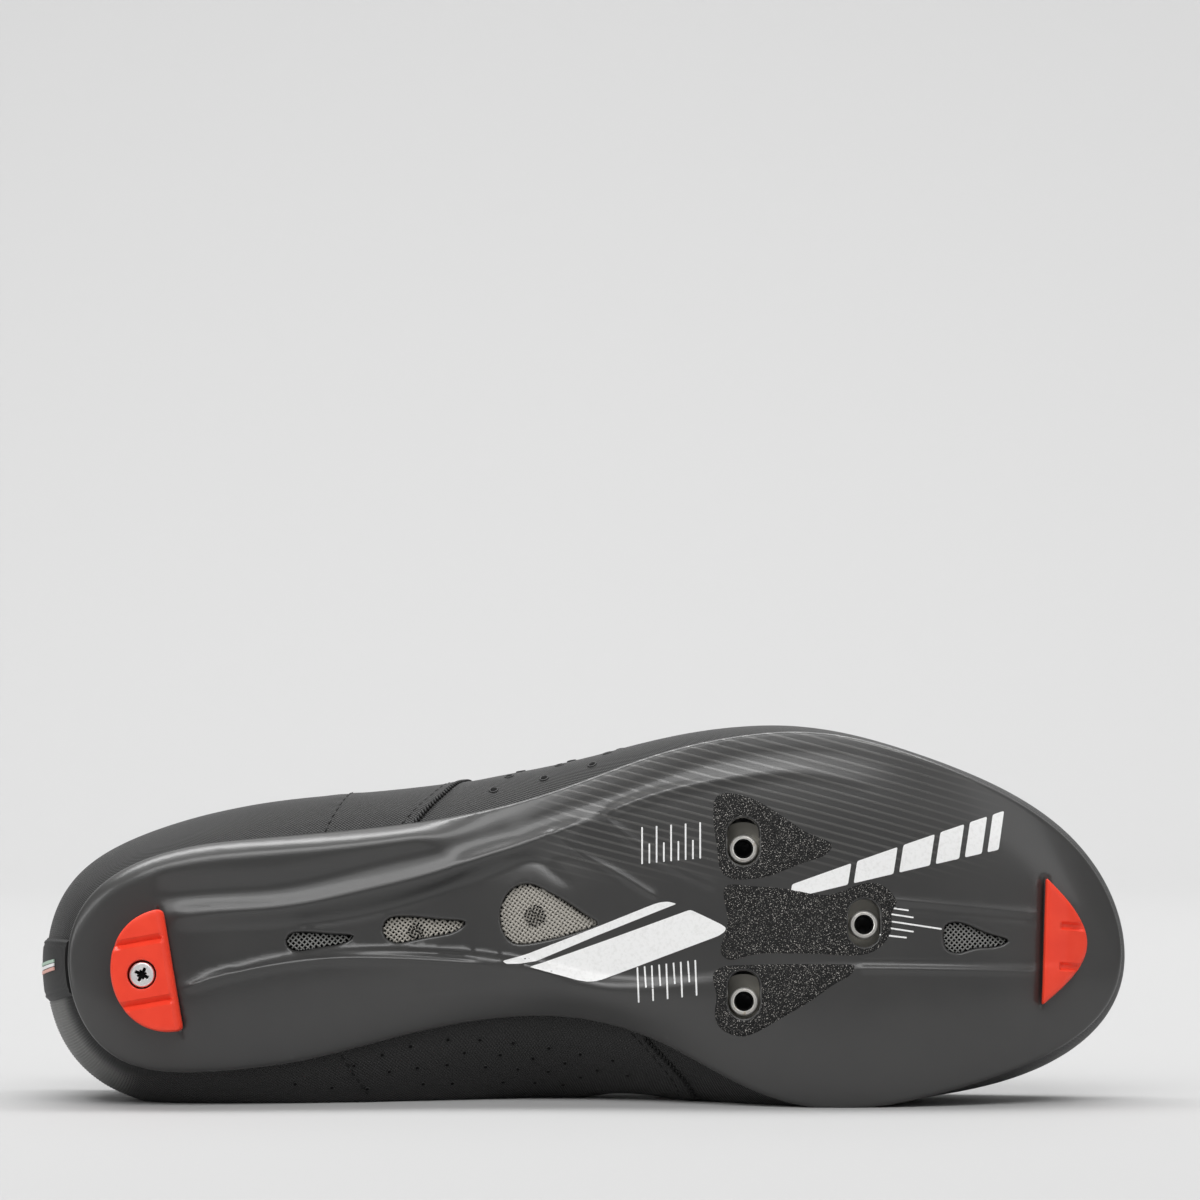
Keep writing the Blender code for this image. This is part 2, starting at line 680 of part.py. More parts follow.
def groove_lines(border):
    """Plan lines beside each groove of the heel pad, so that its mesh has an edge there."""
    lines = []
    for side in (-1, 1):
        for off in (-0.55, -0.25, 0.25, 0.55):
            across = side * PAD_WIDTH * PAD_GROOVE_SHARE + off * PAD_GROOVE_WIDTH
            line = []
            for along in np.linspace(-0.5, 0.5, 9) * PAD_DEPTH:
                px = along * math.cos(PAD_TURN) - across * math.sin(PAD_TURN)
                py = along * math.sin(PAD_TURN) + across * math.cos(PAD_TURN)
                line.append((PAD_X + px, PAD_Y + py))
            line = [p for p in line if inside_polygon(np.array([p]), border)[0]]
            lines.append([p for p in line if clear_of(p, [border], GROOVE_CLEARANCE)])
    return lines


def pad_outline():
    return d_outline(PAD_X, PAD_Y, PAD_WIDTH, PAD_DEPTH, PAD_TURN, -1)


def bumper_outline():
    return d_outline(BUMPER_X, BUMPER_Y, BUMPER_WIDTH, BUMPER_DEPTH, BUMPER_TURN, 1)


def build_heel_pad():
    border = pad_outline()
    hole = circle(SCREW_X, SCREW_Y, SCREW_RADIUS + GAP, SCREW_SIDES)
    plan_mesh("heel_pad", border, [hole], groove_lines(border), PAD_STEP,
              lambda x, y: underside(x, y) - PAD_GAP, pad_floor, (0.80, 0.045, 0.020), 0.42)


def build_screw():
    """Countersunk pad screw: a head in the pad's hole and a shank in the sole."""
    seat = float(underside(SCREW_X, SCREW_Y)) - GAP
    head_top = float(underside(PAD_X, PAD_Y)) - PAD_HEIGHT + SCREW_SINK
    head_low = head_top + SCREW_HEAD_THICKNESS
    tip = float(bed(SCREW_X)) - 2 * GAP
    neck = max(seat, head_low + SCREW_STEM)
    rings = ((SCREW_RADIUS, head_top), (SCREW_RADIUS, head_low), (SCREW_SHANK_RADIUS, neck),
             (SCREW_SHANK_RADIUS, tip))
    points = [(SCREW_X, SCREW_Y, head_top), (SCREW_X, SCREW_Y, tip)]
    for k in range(SCREW_SIDES):
        a = 2 * math.pi * k / SCREW_SIDES
        points.extend((SCREW_X + r * math.cos(a), SCREW_Y + r * math.sin(a), z) for r, z in rings)
    faces = []
    for k in range(SCREW_SIDES):
        this = 2 + k * len(rings)
        following = 2 + (k + 1) % SCREW_SIDES * len(rings)
        faces.append((0, following, this))
        faces.append((1, this + len(rings) - 1, following + len(rings) - 1))
        for m in range(len(rings) - 1):
            faces.append((this + m, following + m, following + m + 1, this + m + 1))
    mesh_object("heel_pad_screw", points, faces, (0.75, 0.75, 0.76), 0.25, 1.0)


def build_bumper():
    border = bumper_outline()
    chord = BUMPER_X - BUMPER_DEPTH / 2

    def face(x, y):
        fall = 1.0 - 0.6 * ramp(x, chord + BUMPER_DEPTH * 0.45, chord + BUMPER_DEPTH)
        return underside(x, y) - PAD_GAP - BUMPER_HEIGHT * fall

    plan_mesh("toe_bumper", border, [], [], BUMPER_STEP, lambda x, y: underside(x, y) - PAD_GAP, face,
              (0.80, 0.045, 0.020), 0.42)


# Overlay edges of the upper, as steps in its wall
SEAM_ROWS = (
    # level, share of length where the vamp tucks under the quarter, lateral and medial
    (0.00, 0.330, 0.545),
    (0.35, 0.365, 0.575),
    (0.70, 0.410, 0.610),
    (1.00, 0.450, 0.630),
)
SEAM_LATERAL = Curve([r[0] for r in SEAM_ROWS], [r[1] for r in SEAM_ROWS])
SEAM_MEDIAL = Curve([r[0] for r in SEAM_ROWS], [r[2] for r in SEAM_ROWS])
EYESTAY_LEVEL = 0.86


def overlay(angle, level):
    """Extra wall of the quarter behind its seam and of the band round the topline."""
    station = (1.0 - np.cos(angle)) / 2.0
    lateral = np.sin(angle) > 0
    seam = np.where(lateral, SEAM_LATERAL(level), SEAM_MEDIAL(level))
    quarter = 1.0 - ramp(station, seam - 0.006, seam + 0.006)
    band = ramp(level, EYESTAY_LEVEL - 0.01, EYESTAY_LEVEL + 0.01)
    return OVERLAY_STEP * (0.5 * quarter + 0.5 * band) * ramp(level, 0.0, 0.08)


def wall_at(angle, level):
    """Wall thickness: even, with padding round the ankle."""
    station = (1.0 - np.cos(angle)) / 2.0
    ankle = (1.0 - ramp(station, 0.26, 0.40)) * ramp(level, 0.55, 0.80)
    return WALL + COLLAR_PAD * ankle


def build_upper():
    angles = np.arange(COLUMNS) * 2 * math.pi / COLUMNS
    levels = np.concatenate([np.linspace(0.0, 0.84, LEVELS - 2), [0.875, 1.0]])
    a, v = np.meshgrid(angles, levels, indexing="ij")
    base = shell(a, v)
    normal = grid_normals(base, closed=True)
    outer = settle(base + normal * overlay(a, v)[..., None])
    inner = base - normal * wall_at(a, v)[..., None]
    crest = (outer[:, -1] + inner[:, -1]) / 2
    lift = outer[:, -1] - outer[:, -2]
    lift /= np.linalg.norm(lift, axis=-1, keepdims=True)
    crest = crest + lift * WALL * 0.35
    inner[..., 2] = np.maximum(inner[..., 2], bed(inner[..., 0]) + GAP + MARGIN_THICKNESS)
    mx, my = inset_outline(angles, MARGIN_WIDTH)
    low = np.stack([mx, my, bed(mx) + GAP], -1)
    high = low + np.array([0.0, 0.0, MARGIN_THICKNESS])
    loop = np.concatenate([outer, crest[:, None], inner[:, ::-1], high[:, None], low[:, None]], 1)
    faces = ring_faces(COLUMNS, loop.shape[1])
    return mesh_object("upper", loop.reshape(-1, 3), faces, (0.022, 0.022, 0.022), 0.6)


# How far down the sides a section reaches, in levels, and how full the bridge over the throat is
SECTION_DEPTH = 0.62
BRIDGE_CROWN = 0.30


def solve(low, high, below, steps=40):
    """Halves the span between low and high until below(value) changes over."""
    for _ in range(steps):
        middle = (low + high) / 2
        under = below(middle)
        low = np.where(under, middle, low)
        high = np.where(under, high, middle)
    return low


def side_at(x, levels, medial):
    """Points of the shell on one side, at x and at each of the levels."""
    def around(angle):
        return 2 * math.pi - angle if medial else angle

    angle = solve(np.full(len(levels), 0.02), np.full(len(levels), math.pi),
                  lambda a: shell(around(a), levels)[..., 0] < x)
    return shell(around(angle), levels)


def instep_section(x, reach, count):
    """Cross-section of the closed instep at x, as points from the lateral to the medial side.

    It follows the upper down on each side and bridges the throat between its edges. reach is the
    length to each side of the middle, measured along the section."""
    toe = np.full(1, math.pi)
    top = 1.0
    if x > shell(toe, np.ones(1))[0, 0]:
        top = float(solve(np.full(1, 0.3), np.ones(1), lambda v: shell(toe, v)[..., 0] > x)[0]) - 0.004
    levels = np.linspace(top - SECTION_DEPTH, top, 26)
    left = side_at(x, levels, False)
    right = side_at(x, levels, True)
    start, end = left[-1], right[-1]
    width = np.linalg.norm(end - start)
    lead_in = (left[-1] - left[-3]) / np.linalg.norm(left[-1] - left[-3])
    lead_out = (right[-1] - right[-3]) / np.linalg.norm(right[-1] - right[-3])
    t = np.linspace(0, 1, 15)[1:-1, None]
    c0 = start + lead_in * width * BRIDGE_CROWN
    c1 = end + lead_out * width * BRIDGE_CROWN
    bridge = (1 - t) ** 3 * start + 3 * (1 - t) ** 2 * t * c0 + 3 * (1 - t) * t * t * c1 + t ** 3 * end
    path = np.concatenate([left, bridge, right[::-1]])
    path[:, 0] = x
    run = np.concatenate([[0.0], np.cumsum(np.linalg.norm(np.diff(path, axis=0), axis=1))])
    middle = (run[len(left) - 1] + run[len(left) + len(bridge)]) / 2
    wanted = np.linspace(middle - reach[0], middle + reach[1], count)
    return np.stack([np.interp(wanted, run, path[:, k]) for k in range(3)], -1)


# Tongue: share of length, then its half width as a share of the ball width
TONGUE_ROWS = (
    (0.410, 0.190),
    (0.450, 0.250),
    (0.520, 0.270),
    (0.600, 0.240),
    (0.655, 0.200),
    (0.690, 0.170),
)
TONGUE_TIP_STATION = 0.345
TONGUE_TIP_RISE = 0.018


def build_tongue():
    width = Curve([r[0] for r in TONGUE_ROWS], [r[1] * BALL_WIDTH for r in TONGUE_ROWS])
    stations = np.linspace(TONGUE_ROWS[0][0], TONGUE_ROWS[-1][0], 13)
    rows = [instep_section(s * SOLE_LENGTH, (float(width(s)), float(width(s))), 13) for s in stations]
    rows = np.array(rows)
    normal = grid_normals(rows, closed=False)
    if normal[6, 6, 2] < 0:
        normal = -normal
    rows = rows - normal * (WALL + 2 * GAP)
    tip_x = TONGUE_TIP_STATION * SOLE_LENGTH
    free = []
    lean = np.array([tip_x - rows[0][6, 0], 0.0, TONGUE_TIP_RISE])
    for share in (1.0, 0.66, 0.33):
        row = rows[0] + lean * share
        row[:, 1] = rows[0][6, 1] + (row[:, 1] - rows[0][6, 1]) * (1 - 0.22 * share ** 2)
        free.append(row)
    rows = np.concatenate([np.array(free), rows])
    slab("tongue", rows, -TONGUE_THICKNESS, 0.0, (0.020, 0.020, 0.021), 0.75)


STRAPS = (
    # name, share of length at the middle, width, lateral reach, medial reach
    ("strap_instep", 0.470, 0.0260, 0.058, 0.036),
    ("strap_forefoot", 0.585, 0.0220, 0.054, 0.036),
)


def build_straps():
    for name, station, width, lateral, medial in STRAPS:
        stations = station * SOLE_LENGTH + np.linspace(-0.5, 0.5, 4) * width
        rows = np.array([instep_section(x, (lateral, medial), 25) for x in stations])
        low = GAP + OVERLAY_STEP
        slab(name, rows, low, low + STRAP_THICKNESS, (0.024, 0.024, 0.024), 0.65)


# Reinforcing strip up the back of the heel. HEEL_TURN is the length round the heel of one radian of
# the angle round the shoe, as a share of the heel's width.
HEEL_STRIP_WIDTH = 0.0180
HEEL_STRIP_CENTRE = -0.03
HEEL_TURN = 1.33


def build_heel_strip():
    half = HEEL_STRIP_WIDTH / (2.0 * HEEL_TURN * HEEL_WIDTH)
    angles = HEEL_STRIP_CENTRE + np.linspace(-half, half, 9)
    levels = np.linspace(0.03, 0.97, 11)
    a, v = np.meshgrid(angles, levels, indexing="ij")
    rows = shell(a, v)
    normal = grid_normals(rows, closed=False)
    low = GAP + OVERLAY_STEP
    stack = np.concatenate([(rows + normal * low).reshape(-1, 3),
                            (rows + normal * (low + HEEL_STRIP_THICKNESS)).reshape(-1, 3)])
    mesh_object("heel_strip", stack, sheet_faces(*rows.shape[:2]), (0.020, 0.020, 0.020), 0.55)


def build_insole():
    angles = np.arange(INSOLE_COLUMNS) * 2 * math.pi / INSOLE_COLUMNS
    border = list(zip(*inset_outline(angles, WALL + INSOLE_CLEARANCE)))
    low = GAP + MARGIN_THICKNESS + 2 * GAP
    plan_mesh("insole", border, [], [], INSOLE_STEP, lambda x, y: bed(x) + low + INSOLE_THICKNESS,
              lambda x, y: bed(x) + low, (0.05, 0.05, 0.05), 0.8)


def lay_down(items):
    """Turns the finished shoe onto its medial side and sets the origin under its middle."""
    root = bpy.data.objects.new("shoe", None)
    bpy.context.scene.collection.objects.link(root)
    turn = Matrix.Rotation(-(math.pi / 2 + LEAN), 4, "X")
    low = Vector((1e9, 1e9, 1e9))
    high = -low
    for item in items:
        for vertex in item.data.vertices:
            p = turn @ vertex.co
            low = Vector(map(min, low, p))
            high = Vector(map(max, high, p))
    shift = Vector((-(low.x + high.x) / 2, -(low.y + high.y) / 2, -low.z))
    root.matrix_world = Matrix.Translation(shift) @ turn
    for item in items:
        item.parent = root


def main():
    for item in list(bpy.data.objects):
        bpy.data.objects.remove(item)
    build_outsole()
    build_screens()
    build_nuts()
    build_heel_pad()
    build_screw()
    build_bumper()
    build_upper()
    build_insole()
    build_tongue()
    build_straps()
    build_heel_strip()
    lay_down([item for item in bpy.data.objects if item.type == "MESH"])


main()
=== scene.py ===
# %% [markdown]
# # A road cycling shoe that lies on its side
#
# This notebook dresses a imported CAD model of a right-foot road cycling shoe. The model gives the
# frame: where each piece sits and how large it is. The cells below make the finished surfaces on
# top of it, such as the moulded sole, the stitched upper, the printed marks and the woven vents.
# Every surface is worked out from a few sizes, so the finer meshes land exactly on the solids.

# %% Load the frame
import math
import bpy
import numpy as np
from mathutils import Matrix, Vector
from mathutils.geometry import delaunay_2d_cdt


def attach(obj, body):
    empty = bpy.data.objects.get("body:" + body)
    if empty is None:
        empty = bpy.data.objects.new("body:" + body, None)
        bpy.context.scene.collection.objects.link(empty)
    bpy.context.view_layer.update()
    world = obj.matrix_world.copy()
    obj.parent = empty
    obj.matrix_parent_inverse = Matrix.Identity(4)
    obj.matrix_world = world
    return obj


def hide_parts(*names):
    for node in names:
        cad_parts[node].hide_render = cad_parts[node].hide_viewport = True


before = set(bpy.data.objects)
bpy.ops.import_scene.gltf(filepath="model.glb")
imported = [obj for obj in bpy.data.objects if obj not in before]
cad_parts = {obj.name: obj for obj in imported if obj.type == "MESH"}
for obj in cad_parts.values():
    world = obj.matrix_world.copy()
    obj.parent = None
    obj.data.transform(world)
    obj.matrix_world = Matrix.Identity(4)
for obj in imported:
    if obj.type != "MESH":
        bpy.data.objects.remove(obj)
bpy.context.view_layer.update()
print("nodes in the frame:", ", ".join(sorted(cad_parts)))

# %% [markdown]
# ## The shoe's own sizes
#
# A shoemaker starts from a last: a length, a ball width, a heel width and a few heights. We keep
# the same driving sizes as the CAD model, and every table below holds shares of them. Its own
# frame is easier to think in than the lying one: +X runs from heel to toe, +Y to the inner
# (medial) side and +Z from the ground up. One turn at the end lays the finished points down.

# %% Driving sizes
SOLE_LENGTH = 0.285
BALL_WIDTH = 0.1005
HEEL_WIDTH = 0.0625
INSTEP_HEIGHT = 0.085
COLLAR_HEIGHT = 0.070
LEAN = math.radians(5.5)
HEEL_BED, ARCH_BED, BALL_BED, TOE_BED = 0.0120, 0.0205, 0.0090, 0.0270
SOLE_DEPTH = 0.0078
RIM_THICKNESS = 0.0018
CHANNEL_DEPTH = 0.0026
FLOOR_BITE = 0.0005
GAP = 0.0003
WALL = 0.0020
COLLAR_PAD = 0.0030
MARGIN_WIDTH = 0.0100
MARGIN_THICKNESS = 0.0016
FEATHER_INSET = 0.0006
MM = 0.001


# %% Smooth curves through short tables
def ramp(t, low, high):
    """Smooth step from 0 at low to 1 at high."""
    share = np.clip((np.asarray(t, float) - low) / (high - low), 0.0, 1.0)
    return share * share * (3.0 - 2.0 * share)


class Curve:
    """Natural cubic curve through a table; with a period it closes on itself."""

    def __init__(self, knots, values, period=None):
        knots, values = np.asarray(knots, float), np.asarray(values, float)
        if period is not None:
            knots = np.concatenate([knots - period, knots, knots + period])
            values = np.concatenate([values, values, values])
        self.period, self.knots, self.values = period, knots, values
        gap = np.diff(knots)
        slope = np.diff(values) / gap
        matrix = np.eye(len(knots))
        right = np.zeros(len(knots))
        for i in range(1, len(knots) - 1):
            matrix[i, i - 1:i + 2] = gap[i - 1], 2.0 * (gap[i - 1] + gap[i]), gap[i]
            right[i] = 6.0 * (slope[i] - slope[i - 1])
        self.bend = np.linalg.solve(matrix, right)

    def __call__(self, t):
        t = np.asarray(t, float)
        if self.period is not None:
            t = np.mod(t, self.period)
        t = np.clip(t, self.knots[0], self.knots[-1])
        i = np.clip(np.searchsorted(self.knots, t) - 1, 0, len(self.knots) - 2)
        gap = self.knots[i + 1] - self.knots[i]
        a = (self.knots[i + 1] - t) / gap
        b = 1.0 - a
        sag = ((a ** 3 - a) * self.bend[i] + (b ** 3 - b) * self.bend[i + 1]) * gap * gap / 6.0
        return a * self.values[i] + b * self.values[i + 1] + sag


def column(rows, k):
    """Curve through column k of a table, over its first column."""
    return Curve([row[0] for row in rows], [row[k] for row in rows])


# %% [markdown]
# ## The outline of the sole
#
# Seen from below, the sole is one closed line. An angle runs round it: 0 at the heel, pi at the
# toe, the outer side first. Near both ends the angle packs its points closely, exactly where the
# outline bends most, so a table of fifteen rows is enough.

# %% Outline table and footbed height
OUTLINE_ROWS = (
    # station, lateral, medial
    (0.000, -0.038, 0.038),
    (0.020, 0.229, 0.345),
    (0.060, 0.366, 0.490),
    (0.130, 0.457, 0.524),
    (0.220, 0.486, 0.464),
    (0.330, 0.484, 0.304),
    (0.450, 0.507, 0.209),
    (0.550, 0.562, 0.252),
    (0.640, 0.584, 0.371),
    (0.720, 0.578, 0.424),
    (0.800, 0.522, 0.398),
    (0.880, 0.430, 0.333),
    (0.950, 0.298, 0.238),
    (0.985, 0.166, 0.144),
    (1.000, -0.002, 0.002),
)


def angle_of(station):
    return math.acos(max(-1.0, min(1.0, 1.0 - 2.0 * station)))


def local_width(station):
    return HEEL_WIDTH + (BALL_WIDTH - HEEL_WIDTH) * ramp(station, 0.15, 0.70)


outline_knots = [angle_of(row[0]) for row in OUTLINE_ROWS]
outline_knots += [2 * math.pi - angle_of(row[0]) for row in reversed(OUTLINE_ROWS[1:-1])]
outline_sides = [-row[1] for row in OUTLINE_ROWS] + [row[2] for row in reversed(OUTLINE_ROWS[1:-1])]
OUTLINE_SIDE = Curve(outline_knots, outline_sides, period=2 * math.pi)
BED = Curve(
    (0.0, 0.12, 0.28, 0.43, 0.58, 0.72, 0.86, 1.0),
    (HEEL_BED, HEEL_BED, (HEEL_BED + ARCH_BED) / 2, ARCH_BED, (ARCH_BED + BALL_BED) / 2,
     BALL_BED, BALL_BED + (TOE_BED - BALL_BED) * 0.28, TOE_BED),
)


def outline(angle):
    station = (1.0 - np.cos(np.asarray(angle, float))) / 2.0
    return station * SOLE_LENGTH, OUTLINE_SIDE(angle) * local_width(station)


def outline_normal(angle):
    x0, y0 = outline(np.asarray(angle) - 1e-3)
    x1, y1 = outline(np.asarray(angle) + 1e-3)
    size = np.hypot(x1 - x0, y1 - y0)
    return (y1 - y0) / size, -(x1 - x0) / size


def inset_outline(angle, distance):
    x, y = outline(angle)
    nx, ny = outline_normal(angle)
    return x - nx * distance, y - ny * distance


def half_widths(x):
    station = np.clip(np.asarray(x, float) / SOLE_LENGTH, 0.0, 1.0)
    angle = np.arccos(1.0 - 2.0 * station)
    width = local_width(station)
    return OUTLINE_SIDE(angle) * width, OUTLINE_SIDE(2.0 * math.pi - angle) * width


def bed(x):
    return BED(np.asarray(x, float) / SOLE_LENGTH)


# %% The floor, and the turn that lays the shoe down
edge_x, edge_y = outline(np.linspace(math.pi, 2 * math.pi, 400))
FLOOR = float(np.max(edge_y * math.cos(LEAN) + bed(edge_x) * math.sin(LEAN))) - FLOOR_BITE
outsole_points = [Vector(v.co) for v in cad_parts["outsole"].data.vertices]
toe_tip = max(outsole_points, key=lambda p: (round(p.x, 5), p.y))
tip_x, tip_y = (float(value) for value in outline(math.pi))
PLACE = np.array([
    toe_tip.x - tip_x,
    toe_tip.y - float(bed(tip_x)) * math.cos(LEAN) + tip_y * math.sin(LEAN),
    FLOOR,
])


def settle(points):
    """Presses what would pass through the floor flat onto it."""
    normal = np.array([0.0, math.cos(LEAN), math.sin(LEAN)])
    return points - np.maximum(points @ normal - FLOOR, 0.0)[..., None] * normal


def to_row(points):
    """From the shoe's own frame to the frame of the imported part."""
    points = np.asarray(points, float)
    y, z = points[..., 1], points[..., 2]
    turned = [points[..., 0], z * math.cos(LEAN) - y * math.sin(LEAN),
              -z * math.sin(LEAN) - y * math.cos(LEAN)]
    return np.stack(turned, -1) + PLACE


print("the shoe's own origin lies at", [round(float(v) / MM, 2) for v in PLACE], "mm")

# %% [markdown]
# ## From numbers to a piece
#
# A finished piece is a mesh whose points are already in place, with the object itself at the
# origin. The helper below turns points of the shoe's frame into such a piece, gives it its
# materials and lets it ride on the part's one body.

# %% Helper: a piece from points
def linked(name, data):
    """A new object in the scene that carries the data."""
    made = bpy.data.objects.new(name, data)
    bpy.context.scene.collection.objects.link(made)
    return made


def piece(name, points, faces, materials, slots=None, sharp=40.0, uv=None):
    """A named mesh piece; slots holds a material index for each face, uv a pair for each point."""
    mesh = bpy.data.meshes.new(name)
    mesh.from_pydata(to_row(points).tolist(), [], faces)
    for material in materials:
        mesh.materials.append(material)
    if slots is not None:
        mesh.polygons.foreach_set("material_index", slots)
    if uv is not None:
        corners = np.empty(len(mesh.loops), np.int32)
        mesh.loops.foreach_get("vertex_index", corners)
        layer = mesh.uv_layers.new(name="surface")
        layer.data.foreach_set("uv", uv[corners].astype(np.float32).ravel())
    mesh.update()
    mesh.shade_smooth()
    mesh.set_sharp_from_angle(angle=math.radians(sharp))
    made = linked(name, mesh)
    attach(made, "root")
    return made


def band_faces(columns, count):
    """Quads of a band: columns round it, each a closed loop of count points."""
    faces = []
    for i in range(columns):
        j = (i + 1) % columns
        for k in range(count):
            m = (k + 1) % count
            faces.append((i * count + k, j * count + k, j * count + m, i * count + m))
    return faces


def grid_normals(points, closed=False):
    along = np.roll(points, -1, 0) - np.roll(points, 1, 0) if closed else np.gradient(points, axis=0)
    normal = np.cross(along, np.gradient(points, axis=1))
    return normal / np.maximum(np.linalg.norm(normal, axis=-1, keepdims=True), 1e-12)


# %% [markdown]
# ## Shader maths that reads like maths
#
# Procedural materials are sums of patterns. Adding Math nodes one by one hides the idea, so a
# small class wraps a socket and lets us write an expression such as 1 - mask * 0.5. Each
# operator adds its own node to the tree.

# %% Helper: sockets as numbers
class Field:
    def __init__(self, paint, socket):
        self.paint = paint
        self.socket = socket

    def _math(self, operation, other=None, reflected=False):
        values = [self, other] if other is not None else [self]
        if reflected:
            values.reverse()
        return self.paint.math(operation, *values)

    def __add__(self, other):
        return self._math("ADD", other)

    def __radd__(self, other):
        return self._math("ADD", other, True)

    def __sub__(self, other):
        return self._math("SUBTRACT", other)

    def __rsub__(self, other):
        return self._math("SUBTRACT", other, True)

    def __mul__(self, other):
        return self._math("MULTIPLY", other)

    def __rmul__(self, other):
        return self._math("MULTIPLY", other, True)

    def sin(self):
        return self._math("SINE")

    def abs(self):
        return self._math("ABSOLUTE")

    def fract(self):
        return self._math("FRACT")


class Paint:
    """A material under construction, with a Principled shader."""

    def __init__(self, name, base, roughness, **fixed):
        self.material = bpy.data.materials.new(name)
        self.material.use_nodes = True
        self.tree = self.material.node_tree
        self.shader = self.tree.nodes["Principled BSDF"]
        self.set("Base Color", base)
        self.set("Roughness", roughness)
        for socket, value in fixed.items():
            self.set(socket.replace("_", " "), value)

    def set(self, socket, value):
        target = self.shader.inputs[socket]
        if isinstance(value, Field):
            self.tree.links.new(value.socket, target)
        elif isinstance(value, tuple):
            target.default_value = (*value, 1.0)[:4]
        else:
            target.default_value = value

    def node(self, kind, settings=None, inputs=None, output=0):
        """Adds any node: its settings first, then the values or links of its sockets."""
        node = self.tree.nodes.new(kind)
        for key, value in (settings or {}).items():
            setattr(node, key, value)
        for key, value in (inputs or {}).items():
            if isinstance(value, Field):
                self.tree.links.new(value.socket, node.inputs[key])
            elif isinstance(value, tuple) and len(node.inputs[key].default_value) == 4:
                node.inputs[key].default_value = (*value, 1.0)[:4]
            else:
                node.inputs[key].default_value = value
        return Field(self, node.outputs[output])

    def math(self, operation, *values):
        return self.node("ShaderNodeMath", {"operation": operation}, dict(enumerate(values)))

    def place(self, kind="Object"):
        """Object coordinates in metres, or the piece's own map when kind is UV."""
        return self.node("ShaderNodeTexCoord", output=kind)

    def split(self, vector):
        node = self.tree.nodes.new("ShaderNodeSeparateXYZ")
        self.tree.links.new(vector.socket, node.inputs[0])
        return [Field(self, output) for output in node.outputs]

    def noise(self, size, detail=2.0, roughness=0.5):
        """Noise from 0 to 1 whose lumps are about size metres across."""
        inputs = {"Vector": self.place(), "Scale": 1.0 / size, "Detail": detail, "Roughness": roughness}
        return self.node("ShaderNodeTexNoise", {}, inputs)

    def cells(self, size):
        """Distance to the nearest of many scattered points, as in holes or knots of a cloth."""
        return self.node("ShaderNodeTexVoronoi", {}, {"Vector": self.place(), "Scale": 1.0 / size})

    def step(self, value, low, high):
        inputs = {"Value": value, "From Min": low, "From Max": high}
        return self.node("ShaderNodeMapRange", {"interpolation_type": "SMOOTHSTEP"}, inputs)

    def blend(self, factor, first, second):
        node = self.tree.nodes.new("ShaderNodeMix")
        node.data_type = "RGBA"
        self.tree.links.new(factor.socket, node.inputs["Factor"])
        for socket, colour in ((node.inputs[6], first), (node.inputs[7], second)):
            if isinstance(colour, Field):
                self.tree.links.new(colour.socket, socket)
            else:
                socket.default_value = (*colour, 1.0)[:4]
        return Field(self, node.outputs[2])

    def colour(self, factor, first, second):
        """Gives the surface a colour between two, by a field from 0 to 1."""
        self.set("Base Color", self.blend(factor, first, second))

    def bump(self, height, distance, strength=1.0):
        inputs = {"Height": height, "Distance": distance, "Strength": strength}
        self.set("Normal", self.node("ShaderNodeBump", {}, inputs))


# %% [markdown]
# ## Camera, floor and light
#
# The shoe was photographed with a long lens just above the table, so lines hardly converge. A
# pale sheet runs from the floor up the wall in one sweep, a little darker in front. The widest
# soft light hangs overhead and models the ridges of the sole. A narrow one behind it draws their
# edges, three weak ones fill from the front and the sides, and the last one washes the wall.

# %% Camera
CAMERA_DISTANCE = 1.386
CAMERA_TARGET = Vector(PLACE + (0.14315, 0.05041, 0.09377))
CAMERA_DROP = math.radians(-1.0)
CAMERA_LENS, SENSOR_WIDTH = 150.0, 36.0
camera_data = bpy.data.cameras.new("camera")
camera_data.lens = CAMERA_LENS
camera_data.sensor_width = SENSOR_WIDTH
camera = linked("camera", camera_data)
back = Vector((0.0, -math.cos(CAMERA_DROP), math.sin(CAMERA_DROP)))
camera.location = CAMERA_TARGET + back * CAMERA_DISTANCE
camera.rotation_euler = (-back).to_track_quat("-Z", "Y").to_euler()
bpy.context.scene.camera = camera
print("camera height", round(camera.location.z, 4), "m")

# %% Sweep: the floor and the wall as one sheet
SWEEP_WIDTH, SWEEP_NEAR, SWEEP_FAR, SWEEP_RADIUS, SWEEP_TOP = 9.0, -3.0, 2.2, 0.8, 3.6
SWEEP_STEPS = 12
SWEEP_FADE, FLOOR_TONE, WALL_TONE = (0.2, 1.5), (0.415, 0.415, 0.415), (0.50, 0.50, 0.50)
profile = [(SWEEP_NEAR, 0.0), (SWEEP_FAR - SWEEP_RADIUS, 0.0)]
for k in range(1, SWEEP_STEPS + 1):
    turn = math.pi / 2 * k / SWEEP_STEPS
    profile.append((SWEEP_FAR - SWEEP_RADIUS * (1 - math.sin(turn)), SWEEP_RADIUS * (1 - math.cos(turn))))
profile.append((SWEEP_FAR, SWEEP_TOP))
sweep_points = [(side * SWEEP_WIDTH / 2, y, z) for y, z in profile for side in (-1, 1)]
sweep_faces = [(2 * i, 2 * i + 1, 2 * i + 3, 2 * i + 2) for i in range(len(profile) - 1)]
sweep_mesh = bpy.data.meshes.new("sweep")
sweep_mesh.from_pydata(sweep_points, [], sweep_faces)
sweep_mesh.shade_smooth()
sweep_paint = Paint("sweep paper", WALL_TONE, 0.9)
sweep_y = sweep_paint.split(sweep_paint.place())[1]
sweep_paint.colour(sweep_paint.step(sweep_y, *SWEEP_FADE), FLOOR_TONE, WALL_TONE)
sweep_mesh.materials.append(sweep_paint.material)
sweep = linked("sweep", sweep_mesh)


